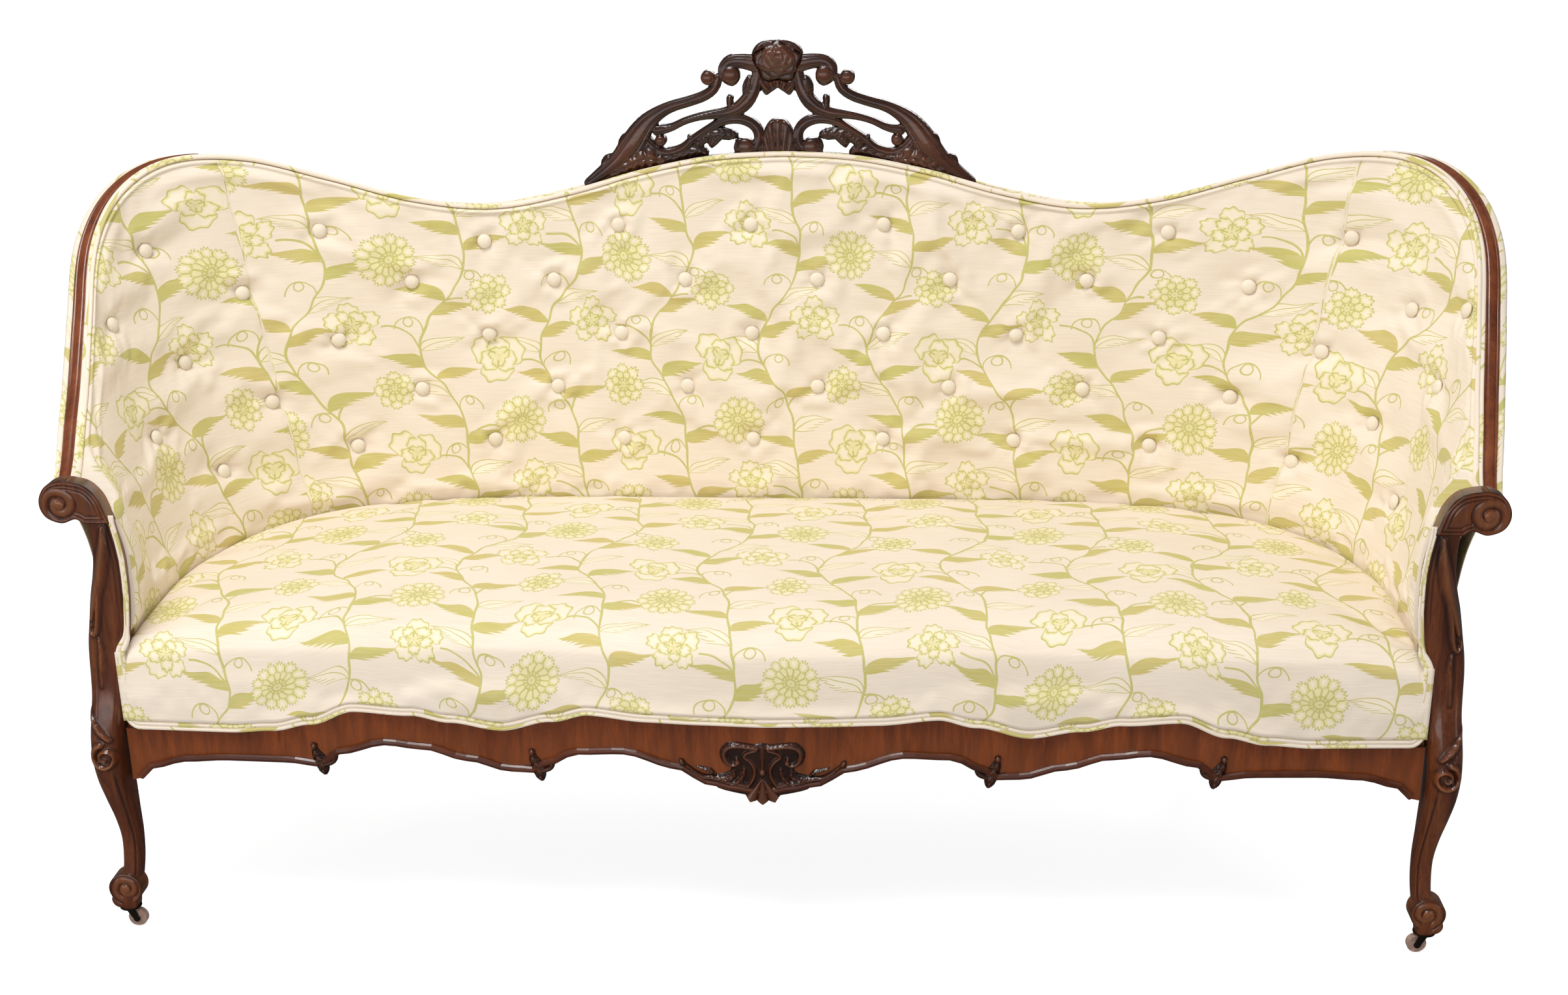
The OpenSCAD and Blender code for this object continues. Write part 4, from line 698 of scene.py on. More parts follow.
# Distance to the nearest side of a polygon, below 0 inside
def outlineField(x, z, polygon):
    best = np.full(x.shape, 1e9)
    inside = np.zeros(x.shape, bool)
    for k in range(len(polygon)):
        (x0, z0), (x1, z1) = polygon[k - 1], polygon[k]
        dx, dz = x1 - x0, z1 - z0
        t = np.clip(((x - x0) * dx + (z - z0) * dz) / max(dx * dx + dz * dz, 1e-9), 0, 1)
        best = np.minimum(best, np.hypot(x - x0 - dx * t, z - z0 - dz * t))
        if z0 != z1:
            crosses = (z0 > z) != (z1 > z)
            inside ^= crosses & (x < (x1 - x0) * (z - z0) / (z1 - z0) + x0)
    return np.where(inside, -best, best)


# Carved plate: a grid kept where the field is inside, its rim drawn to the outline, heights as given, flat behind
def carvedPlate(low, high, step, field, back):
    x, z = np.meshgrid(*(np.arange(low[k], high[k] + step, step) for k in (0, 1)), indexing="ij")
    far = field(x, z)[0]
    kept = (far[:-1, :-1] < 0) | (far[1:, :-1] < 0) | (far[:-1, 1:] < 0) | (far[1:, 1:] < 0)
    gx, gz = np.gradient(far, step)
    size = np.maximum(np.hypot(gx, gz), 0.3)
    out = far > 0
    for attempt in range(2):
        x = np.where(out, x - far * gx / size ** 2, x)
        z = np.where(out, z - far * gz / size ** 2, z)
        far = np.where(out, field(x, z)[0], far)
        out = out & (np.abs(far) > 0.02) & (np.abs(far) < step * 2)
    height = field(x, z)[1]
    n, m = x.shape
    number = np.arange(n * m).reshape(n, m)
    cells = np.stack([number[:-1, :-1], number[1:, :-1], number[1:, 1:], number[:-1, 1:]], -1)[kept]
    # Edges that only one cell has are the rim, and each carries a wall down to the back
    p, q = cells.ravel(), np.roll(cells, -1, 1).ravel()
    rim = ~np.isin(p * n * m + q, q * n * m + p)
    p, q = p[rim], q[rim]
    faces = np.concatenate([cells, cells[:, ::-1] + n * m, np.stack([q, p, p + n * m, q + n * m], 1)])
    points = np.concatenate([np.stack([x, y, z], -1).reshape(-1, 3) for y in (height, np.full(x.shape, back))])
    used, faces = np.unique(faces, return_inverse=True)
    return points[used], faces.reshape(-1, 4), points[used, 1]


# Round strand: a steep dome over its width, with a groove at 0.55 of it
def strand(side, half, grooves=True):
    u = np.clip(np.abs(side) / np.maximum(half, 1e-3), 0, 1)
    return np.sqrt(np.maximum(0, 1 - u ** 2.2)) - (0.22 * bell(u - 0.55, 0.12) if grooves else 0)


# Leaf: folded down the middle, with ribs that slant back from the vein
def leafShape(side, place, half, ribs):
    u = np.clip(np.abs(side) / np.maximum(half, 1e-3), 0, 1)
    fold = 0.65 + 0.35 * np.cos(math.pi * u * 1.2)
    rib = 0.16 * np.cos(2 * math.pi * (place * ribs - u * 0.9)) * np.sin(math.pi * u) ** 0.5
    return (fold + rib - 0.25 * bell(u, 0.1)) * np.sqrt(np.maximum(0, 1 - u ** 6))


# Pierced crest with rose, scrolls and leaves, in shares of its half width
crestSize = {"half": 295.0, "x": -7.67, "y": 306.704, "base": 958.17, "thick": 17.0, "stout": 1.06}
crestStrokes = {
    "outer": (32, "strand", [[0.302, 0.385, 0.04], [0.322, 0.333, 0.046], [0.375, 0.294, 0.048],
              [0.455, 0.266, 0.048], [0.545, 0.24, 0.052], [0.615, 0.205, 0.066], [0.672, 0.16, 0.088],
              [0.715, 0.105, 0.11], [0.755, 0.045, 0.12], [0.81, -0.02, 0.1], [0.87, -0.072, 0.086],
              [0.93, -0.116, 0.07], [0.982, -0.148, 0.05]]),
    "body": (8, "leaf", [[0.6, -0.03, 0.1], [0.69, -0.02, 0.15], [0.78, -0.06, 0.11], [0.86, -0.1, 0.08]]),
    "lower": (44, "strand", [[0.165, 0.05, 0.04], [0.195, 0.06, 0.044], [0.204, 0.022, 0.046],
              [0.16, 0.0, 0.048], [0.118, 0.03, 0.05], [0.098, 0.08, 0.05], [0.112, 0.132, 0.05],
              [0.155, 0.166, 0.05], [0.215, 0.178, 0.046], [0.29, 0.164, 0.04], [0.365, 0.124, 0.034],
              [0.44, 0.074, 0.036], [0.5, 0.024, 0.044], [0.58, 0.004, 0.05], [0.645, 0.03, 0.056],
              [0.69, 0.08, 0.06]]),
    "upper": (24, "strand", [[0.232, 0.398, 0.03], [0.208, 0.386, 0.032], [0.232, 0.362, 0.036],
              [0.268, 0.39, 0.046], [0.272, 0.432, 0.054], [0.24, 0.464, 0.062], [0.185, 0.468, 0.07],
              [0.13, 0.46, 0.08], [0.08, 0.45, 0.09]]),
    "inner": (26, "strand", [[0.62, 0.12, 0.05], [0.55, 0.134, 0.036], [0.48, 0.166, 0.032],
              [0.405, 0.188, 0.034], [0.33, 0.2, 0.042], [0.265, 0.208, 0.052], [0.205, 0.228, 0.064],
              [0.158, 0.268, 0.07], [0.124, 0.322, 0.062], [0.106, 0.378, 0.056], [0.095, 0.43, 0.06]]),
    "leafA": (8, "leaf", [[0.222, 0.096, 0.03], [0.255, 0.1, 0.056], [0.315, 0.106, 0.058], [0.375, 0.092, 0.04],
              [0.44, 0.06, 0.02]]),
    "leafB": (8, "leaf", [[0.375, 0.006, 0.03], [0.41, 0.02, 0.054], [0.47, 0.008, 0.056], [0.54, -0.014, 0.06],
              [0.62, -0.03, 0.07]]),
    "leafC": (6, "leaf", [[0.225, 0.218, 0.04], [0.245, 0.248, 0.03], [0.244, 0.282, 0.034]]),
    "leafD": (6, "leaf", [[0.146, 0.29, 0.06], [0.148, 0.34, 0.06], [0.142, 0.378, 0.036]]),
    "leafE": (4, "leaf", [[0.45, 0.06, 0.03], [0.458, 0.09, 0.018]]),
    "leafF": (6, "leaf", [[0.74, 0.1, 0.06], [0.78, 0.066, 0.06], [0.805, 0.046, 0.01]]),
    "leafG": (6, "leaf", [[0.8, 0.0, 0.08], [0.86, -0.05, 0.05], [0.892, -0.07, 0.01]]),
    "leafK": (6, "leaf", [[0.3, 0.1, 0.05], [0.335, 0.066, 0.05], [0.342, 0.036, 0.012]]),
    "leafL": (6, "leaf", [[0.37, 0.09, 0.05], [0.41, 0.056, 0.046], [0.422, 0.034, 0.012]]),
    "leafM": (6, "leaf", [[0.7, 0.07, 0.08], [0.66, 0.036, 0.06], [0.636, 0.01, 0.012]]),
    "leafN": (6, "leaf", [[0.77, -0.01, 0.08], [0.735, -0.05, 0.06], [0.716, -0.08, 0.012]]),
    "leafO": (6, "leaf", [[0.74, 0.08, 0.07], [0.786, 0.074, 0.056], [0.82, 0.05, 0.012]]),
    "leafP": (6, "leaf", [[0.84, -0.03, 0.06], [0.885, -0.03, 0.046], [0.912, -0.052, 0.012]])}
crestBuds = [[0.353, 0.386, 0.037], [0.236, 0.4, 0.045], [0.604, 0.07, 0.03], [0.168, 0.036, 0.046]]
mountShares = [[0, 0.572], [0.05, 0.57], [0.1, 0.55], [0.128, 0.51], [0.12, 0.45], [0.098, 0.4],
               [0.088, 0.34], [0.062, 0.298], [0.034, 0.312], [0, 0.335]]
shieldShares = [[0, 0.18], [0.036, 0.172], [0.064, 0.14], [0.076, 0.1], [0.082, 0.05], [0.11, 0.0],
                [0.12, -0.05], [0, -0.05]]
roseLayers = [[0.098, 2.5, 0.462], [0.083, 5.0, 0.47], [0.068, 7.5, 0.479], [0.05, 10.0, 0.488], [0.027, 12.0, 0.493]]


# A half outline smoothed and closed with its mirror image
def mirrorOutline(table):
    rows = spread(table, (len(table) - 1) * 3)
    return np.concatenate([rows, rows[-2:0:-1] * [-1, 1]])


# Distance to the crest's outline and height of its face: the highest of strokes, buds, mount, shield, rose and foot
def crestField(x, z):
    half, stout = crestSize["half"], crestSize["stout"]
    u, v, signed = np.abs(x) / half, (z - crestSize["base"]) / half, x / half
    best, rise = np.full(x.shape, 1e9), np.zeros(x.shape)
    for steps, kind, rows in crestStrokes.values():
        far, side, place, wide = nearStroke(u, v, rows, steps)
        wide = wide * stout
        far = far - wide * (1 - 1 / stout)
        lift = strand(side, wide) if kind == "strand" else leafShape(side, place, wide, 6)
        rise = np.maximum(rise, np.where(far < 0, lift * np.clip(wide / 0.05, 0.6, 1.5) * 6.8 + 1.0, 0))
        best = np.minimum(best, far)
    for bx, bz, r in crestBuds:
        q = np.hypot(u - bx, v - bz) / r
        best = np.minimum(best, (q - 1) * r)
        rise = np.maximum(rise, np.where(q < 1, 3 + 6 * dome(q), 0))
    mount = outlineField(signed, v, mirrorOutline(mountShares))
    fan = np.cos(np.arctan2(signed, v - 0.28) * 15)
    rise = np.maximum(rise, np.where(mount < 0, 5.5 + 2.0 * fan * np.clip(-mount / 0.02, 0, 1)
                                     - 3 * np.exp(mount / 0.012), 0))
    shield = outlineField(signed, v, mirrorOutline(shieldShares))
    reeds = np.abs(np.cos(np.arctan2(signed, v + 0.16) * 22))
    rise = np.maximum(rise, np.where(shield < 0, 5.0 + 2.5 * reeds - 3 * np.exp(shield / 0.01), 0))
    best = np.minimum(np.minimum(best, mount), shield)
    for k, (size, lift, centre) in enumerate(roseLayers):
        r, way = np.hypot(signed / 1.2, v - centre), np.arctan2(signed, v - centre)
        lobes = size * (1 + 0.1 * np.cos(way * 5 + k * math.pi * 0.7))
        q = r / lobes
        cup = lift + 2.0 * np.clip(q, 0, 1) ** 2 - 4.5 * np.clip(q - 0.84, 0, 1) / 0.16
        rise = np.where(q < 1, np.maximum(cup, lift) if k else cup + 1, rise)
        best = np.minimum(best, r - lobes)
    rim = edgeAt(np.degrees(np.arctan(x / wideTop)))
    base = (z - (rim + 3.0)) / half
    best = np.minimum(best, np.maximum(base, u - 0.985))
    rise = np.maximum(rise, np.where(base < 0, 1.2 + 1.6 * np.exp(-(base * half + 3) ** 2 / 3), 0))
    best = np.maximum(best, (rim - 3.8 - z) / half)
    bevel = np.sqrt(np.clip(-best * half / 1.6, 0, 1))
    return best * half, -(crestSize["thick"] * 0.175 + rise * (0.35 + 0.65 * bevel))


points, faces, height = carvedPlate((-310, 905), (310, 1136), detail(1.3, 2.2), crestField, crestSize["thick"] / 2)
# Relief value for the finish's painted light: the further forward the face stands the paler it is painted, so hollows
# get painted shade and raised tops a painted highlight; the flat back takes a plain middle value
tone = np.where(height > 5, 0.6, np.clip((-height - 3) / 9.5, 0, 1))
crest = meshFrom("carved_crest", points + [crestSize["x"], crestSize["y"], 0], faces, values={"relief": tone})
print("crest", len(crest.data.polygons))


# Distance and height of raised strokes in an elevation; each is steps, kind, height and rows of x, z and width
def strokeRelief(x, z, strokes, ribs=5):
    best, rise = np.full(x.shape, 1e9), np.zeros(x.shape)
    for steps, kind, high, rows in strokes:
        far, side, place, wide = nearStroke(x, z, rows, steps)
        if kind == "soft":
            lift = (1 - np.clip(np.abs(side) / wide, 0, 1) ** 2) ** 2
        else:
            lift = strand(side, wide, high > 3) if kind == "strand" else leafShape(side, place, wide, ribs)
        rise = np.maximum(rise, np.where(far < 0, lift * high * np.clip(wide / 3, 0.4, 1), 0))
        best = np.minimum(best, far)
    return best, rise


# A round bud laid over a field: distance to its circle, and a dome of the height within it
def addBud(far, rise, x, z, r, high):
    q = np.hypot(x, z) / r
    return np.minimum(far, (q - 1) * r), np.maximum(rise, high * dome(q))


# Grooved spiral on a disc of radius r, and a round eye in its middle
def spiralRelief(x, z, r, turns, high):
    far = np.hypot(x, z) / r
    phase = (far * turns + np.arctan2(z, x) / math.tau) % 1
    coil = np.sin(math.pi * phase) ** 0.6 * high * (1 - 0.35 * far)
    return np.where(far < 0.26, high * (0.75 + 0.5 * dome(far / 0.26)), coil)


kneeTurn = np.radians(np.linspace(75, -455, 30))
kneeSize = np.linspace(19, 4.5, 30)
kneeStrokes = [
    (60, "strand", 6.5, np.stack([32 + kneeSize * np.cos(kneeTurn), 258 + kneeSize * np.sin(kneeTurn),
                                  np.linspace(8.5, 4, 30)], 1)),
    (10, "leaf", 5.5, [[54, 322, 4], [46, 306, 10], [36, 293, 11], [24, 282, 6]]),
    (18, "soft", 7.0, [[4, 580, 8], [9, 545, 17], [18, 510, 20], [28, 480, 16], [36, 450, 9]]),
    (22, "soft", 5.5, [[14, 530, 5], [20, 498, 11], [26, 466, 11], [30, 440, 9], [35, 427, 8], [41, 431, 7],
                       [41, 439, 6]]),
    (10, "leaf", 3.6, [[30, 422, 4], [29, 402, 9], [31, 384, 9], [33, 352, 4]])]
postSizes = {"rings": (300, 150), "points": (128, 72), "groove": 1.3, "grooveAt": (6, 11), "legGroove": 1.8}
toe = {"x": 883.22, "z": 59.95, "r": 23.0, "ahead": 36, "turns": 2.1, "high": 3.9}


# Front post and leg in one: squared ovals up a smooth table, with ridge, leaf, knee scroll and toe on the front
def frontPost(side):
    n, m = detail(*postSizes["rings"]), detail(*postSizes["points"])
    z, inner, outer, front, back = smooth(postRows, np.linspace(0, len(postRows) - 1, n)).T[:, :, None]
    around = np.radians(np.linspace(0, 360, m, endpoint=False))
    c, s = np.cos(around), np.sin(around)
    x = (inner + outer) / 2 + (outer - inner) / 2 * np.sign(c) * np.abs(c) ** np.where(c > 0, 0.78, 0.6)
    y = (front + back) / 2 + (back - front) / 2 * np.sign(s) * np.abs(s) ** 0.66
    z = np.broadcast_to(z, x.shape)
    far, lift = strokeRelief(x - sofa["seatHalf"], z, kneeStrokes)
    first, second = postSizes["grooveAt"]
    groove = postSizes["groove"] * ease((z - 440) / 40) * (
        bell(x - inner - first, 1.5) + 0.7 * bell(x - inner - second, 1.4))
    leg = postSizes["legGroove"] * ease((250 - z) / 30) * ease((z - 62) / 20) * bell(
        (x - inner) / (outer - inner) - 0.2, 0.045)
    facing = np.clip(-s * 1.5 - 0.1, 0, 1)
    y = y - (lift - groove - leg) * facing
    # Between the rail's edges the post keeps clear of the rail's end
    x = np.where((z > float(railLow(sofa["seatHalf"]))) & (z < 406), np.maximum(x, postSide), x)
    # Relief value for the finish's painted light: raised carving is painted lighter, grooves and a band just round the
    # strokes are painted in shade, on the front only
    relief = 0.6 + ((lift * 0.3 - groove * 2.2 - leg * 1.6) / 6 - 0.4 * bell(far - 0.8, 2.6)) * facing
    body = skin("post_body", np.stack([x * side, y, z], -1), values={"relief": np.clip(relief, 0, 1)})
    return join("carved_post_" + ("left" if side < 0 else "right"), [body, toePlate(side)])


# Toe: a disc with a spiral, and a lobe under it
def toePlate(side):
    face = sofa["frontY"] - toe["ahead"]

    def field(x, z):
        dx, dz = x - toe["x"], z - toe["z"]
        far = np.minimum(np.hypot(dx, dz) - toe["r"], np.hypot(dx - 9, dz + 17) - 12)
        return far, face - spiralRelief(dx + 2, dz - 1, toe["r"], toe["turns"], toe["high"]) * ease(-far / 2.5)

    points, faces, height = carvedPlate((toe["x"] - 26, toe["z"] - 30), (toe["x"] + 26, toe["z"] + 26), 0.9, field,
                                        sofa["frontY"] - 10)
    points[:, 0] *= side
    # The spiral's height gives the relief value: painted highlight on its raised coils, painted shade in its grooves;
    # the back takes a plain middle value
    tone = np.where(height > sofa["frontY"] - 12, 0.6, np.clip(0.2 + (face - height) / 4.5, 0, 1))
    return meshFrom("toe", points, faces, values={"relief": tone})


scrollShares = [[-2.46, -1.04], [-2.31, -0.58], [-2, 0.31], [-1.42, 0.96], [-0.62, 1.2], [0.08, 1.2], [0.68, 0.9],
                [1.02, 0.3], [1.02, -0.3], [0.7, -0.78], [0, -1.02], [-0.7, -0.8], [-1.1, -1.04]]
armRoll = {"x": 914.04, "z": 611.88, "disc": 0.96, "turns": 1.7, "high": 3.6, "deep": 22}


# Arm scroll: the post's grooved band runs over the arm and winds into a volute, with a drum behind its face
def armScroll(side):
    outline = spread(scrollShares, 60) * sofa["scrollR"]
    r, x0, z0, y0 = sofa["scrollR"] * armRoll["disc"], armRoll["x"], armRoll["z"], sofa["frontY"]

    def field(x, z):
        dx, dz = x - x0, z - z0
        far = outlineField(dx, dz, outline)
        within = ease((r - np.hypot(dx, dz + 1)) / 3)
        bands = 2.2 * ease(-far / 3) - 1.5 * bell(-far - 5.5, 1.2) - 1.2 * bell(-far - 10.5, 1.2)
        coil = spiralRelief(dx, dz + 1, r, armRoll["turns"], armRoll["high"]) * ease(-far / 2)
        return far, y0 - bands * (1 - within) - coil * within

    points, faces, height = carvedPlate((x0 - 68, z0 - 32), (x0 + 30, z0 + 36), 1.0, field, y0 + armRoll["deep"])
    points[:, 0] *= side
    # The carving's height gives the relief value: painted highlight where it stands forward, painted shade in the
    # grooves and hollows; the back takes a plain middle value
    tone = np.where(height > y0 + armRoll["deep"] - 2, 0.6, np.clip(0.15 + (y0 - height) / 3.4, 0, 1))
    face = meshFrom("scroll_face", points, faces, values={"relief": tone})
    spin = np.radians(np.arange(0, 360, 7.5))
    rings = np.stack([np.stack([(x0 + q * np.cos(spin)) * side, 0 * spin + y0 + y, z0 + q * np.sin(spin)], 1)
                      for q, y in ((21, 1), (22.4, 2), (22.4, 48), (21, 49.5))])
    drum = skin("scroll_drum", rings, values={"relief": np.full(rings.shape[:2], 0.6)})
    return join("carved_scroll_" + ("left" if side < 0 else "right"), [face, drum])


posts = [frontPost(-1), frontPost(1)]
scrolls = [armScroll(-1), armScroll(1)]
print("posts and scrolls ready")

# Carving in the middle of the apron, and the small leaves at its cusps
apronZ = float(railLow(0)) - 3.5
apronMiddle = [
    (46, "strand", 5.2, [[7, 73, 7], [20, 75, 8], [34, 76, 9], [46, 73, 9], [51, 64, 9], [48, 53, 8], [40, 48, 7],
                         [33, 51, 6], [34, 58, 5]]),
    (30, "strand", 4.6, [[8, 70, 6], [20, 66, 6], [24, 60, 6], [17, 54, 6], [11, 44, 6], [11, 33, 6], [16, 22, 6],
                         [22, 14, 5]]),
    (12, "strand", 3.6, [[0, 74, 9], [0, 58, 7], [0, 44, 6], [0, 34, 6]]),
    (12, "leaf", 5.0, [[24, 46, 4], [25, 36, 9], [30, 26, 11], [38, 20, 8], [46, 20, 4]]),
    (12, "leaf", 5.0, [[40, 42, 4], [38, 34, 9], [44, 28, 11], [54, 27, 8], [62, 30, 3]])]
apronEdge = [
    (28, "strand", 4.4, [[20, 9, 10], [38, 10, 9], [56, 11, 8], [76, 11, 7], [94, 11, 6], [104, 12, 4]]),
    (8, "leaf", 4.0, [[62, 16, 3], [70, 21, 7], [80, 22, 5], [88, 20, 2]])]
apronBeads = [[0, 38, 5, 6.5], [33, 52, 4.5, 6]]
apronBase = np.array([[0, 80], [18, 77], [34, 81], [48, 79], [57, 66], [53, 50], [42, 43], [47, 36], [62, 32], [66, 24],
                      [60, 12], [30, 4], [16, 2], [0, -1]])
apronShell = {"z": 32, "r": 40.5, "half": 40, "rib": 90 / 13}


# Distance and height of the carving: strokes on a thin plate, beads, and a ribbed shell that fans out downwards
def apronField(x, z):
    u, v, w = np.abs(x), z - apronZ, z - railLow(np.abs(x))
    far, rise = strokeRelief(u, v, apronMiddle)
    far2, rise2 = strokeRelief(u, w, apronEdge)
    plate = np.minimum(outlineField(x, v, mirrorOutline(apronBase)), np.maximum(np.abs(w - 7) - 6.5, u - 100))
    far, rise = np.minimum(np.minimum(far, far2), plate), np.maximum(rise, rise2)
    rise = np.maximum(rise, np.where(plate < 0, 1.3 * ease(-plate / 1.5), 0))
    for bx, bz, r, high in apronBeads:
        far, rise = addBud(far, rise, u - bx, v - bz, r, high)
    far, rise = addBud(far, rise, u - 107, w - 13, 4.5, 5)
    dz = apronShell["z"] - v
    r, way = np.hypot(x, dz), np.degrees(np.arctan2(x, dz))
    rib = np.radians(way * apronShell["rib"])
    fan = np.maximum(r - apronShell["r"] * (1 - 0.07 * np.abs(np.sin(rib))),
                     (np.abs(way) - apronShell["half"]) * r * math.pi / 180)
    shell = (3.0 + 4.6 * np.abs(np.cos(rib)) ** 0.7 * r / 36) * ease(-fan / 2)
    return np.minimum(far, fan), -1.4 * np.maximum(rise, np.where(fan < 0, shell, 0))


dropLeaves = [
    (12, "leaf", 5.0, [[8, 31, 5], [6, 20, 13], [1, 9, 18], [-2, -3, 15], [-4, -10, 6]]),
    (14, "strand", 4.0, [[-2, 3, 6], [-10, 5, 8], [-17, 9, 8], [-19, 16, 7], [-14, 18, 5], [-12, 14, 4]]),
    (10, "strand", 3.4, [[4, 4, 6], [11, 5, 7], [17, 7, 6], [22, 6, 3]])]


# The same for a drop of leaves with a bud on top, which hangs at the cusp in that place along the rail
def dropField(place):
    base = float(railLow(place))

    def field(x, z):
        far, rise = addBud(*strokeRelief(x, z - base, dropLeaves), x - 8, z - base - 31, 4.6, 5.4)
        return far, -1.4 * rise
    return base, field


# A carved plate laid on the rail's bowed face
def onRail(name, plate, shift, side):
    points, faces, height = plate
    points = np.stack([side * (points[:, 0] + shift), points[:, 1], points[:, 2]], 1)
    points[:, 1] += railY(points[:, 0]) - 0.5
    # The carving's height gives the relief value: painted highlight on raised parts, painted shade low down on the
    # plate
    return meshFrom(name, points, faces, values={"relief": np.clip(-height / 7.5, 0, 1)})


fine = detail(1.0, 1.6)
shell = onRail("apron_carving", carvedPlate((-114, 199), (114, 295), fine, apronField, 3.0), 0, 1)
leaves = []
for place in (0.354 * sofa["seatHalf"], 0.698 * sofa["seatHalf"]):
    base, field = dropField(place)
    plate = carvedPlate((-26, base - 14), (26, base + 38), fine, field, 3.0)
    leaves += [onRail("leaf", plate, place, side) for side in (-1, 1)]
drops = join("apron_leaves", leaves)

# Black cloth under the seat, tacked along the rails and let in round the back legs
dustSizes = {"thick": 0.9, "sag": 5.0, "under": 3.4, "legX": 661.9, "legHalf": 33, "legY": 172, "endX": 875}


# The wall's plan between front and back rail, sagging by an eased share of the distance to its edges
def dustCloth():
    a = np.concatenate([np.linspace(-90, -30, 90), np.linspace(-29, 29, 60), np.linspace(30, 90, 90)])
    x, back = wall(a, sofa["seatZ"], 17).T[:2, :, None]
    front, back = railBack + 1, np.maximum(back, railBack + 3)
    atLeg = np.abs(np.abs(x) - dustSizes["legX"]) < dustSizes["legHalf"]
    back = np.where(atLeg, np.minimum(back, dustSizes["legY"]), back)
    share = np.linspace(0, 1, 26)
    y = front + (back - front) * share
    sag = dustSizes["sag"] * ease(np.minimum(share, 1 - share) * (back - front) / 90) * ease(
        np.clip((dustSizes["endX"] - np.abs(x)) / 120, 0, 1)) * (0.8 + 0.2 * np.sin(x / 41.0))
    under = np.stack([np.broadcast_to(x, y.shape), y, sofa["lowZ"] - dustSizes["under"] - sag], -1)
    rings = np.concatenate([under, (under + [0, 0, dustSizes["thick"]])[:, ::-1]], 1)
    area = float(np.sum(np.diff(x[:, 0]) * (back - front)[1:, 0])) / 1e6
    return skin("dust_cloth", rings, np.concatenate([rings, rings[:, :1]], 1)[..., :2]), area


dust, dustArea = dustCloth()
print("apron carving and dust cloth ready")

# Printed linen: slubbed linen, woven plain and block printed with trailing leaves and flowers; its slow slubs and
# pale ground look soft and dry. Lengths in millimetres, printed at the drawn scale, threads drawn coarse to show
prints = {"ground": "#f1e3d0", "shade": "#e9d9c4", "line": "#c2bb66", "leaf": "#c1b961", "gold": "#cbb967",
          "petal": "#e6dba2", "pale": "#f1e5cc", "drawn": 0.95, "vines": 180.0, "rows": 105.0, "sway": 32.0,
          "wobble": 22.0, "stagger": 57.0, "flowerX": 88.0, "flowerZ": 43.0, "heart": 0.64, "eye": 0.33,
          "lineWide": 1.15, "stemWide": 1.8, "leafLong": 60.0, "leafWide": 17.0, "comb": 10.5, "thread": 1.5}
# The four flowers: place in the choice, then radius in 100 mm, petals in 20ths and depth between petals
flowers = [(0.0, (0.39, 0.65, 0.14)), (0.24, (0.40, 0.15, 0.46)), (0.49, (0.31, 0.40, 0.22)),
           (0.74, (0.37, 0.25, 0.42))]


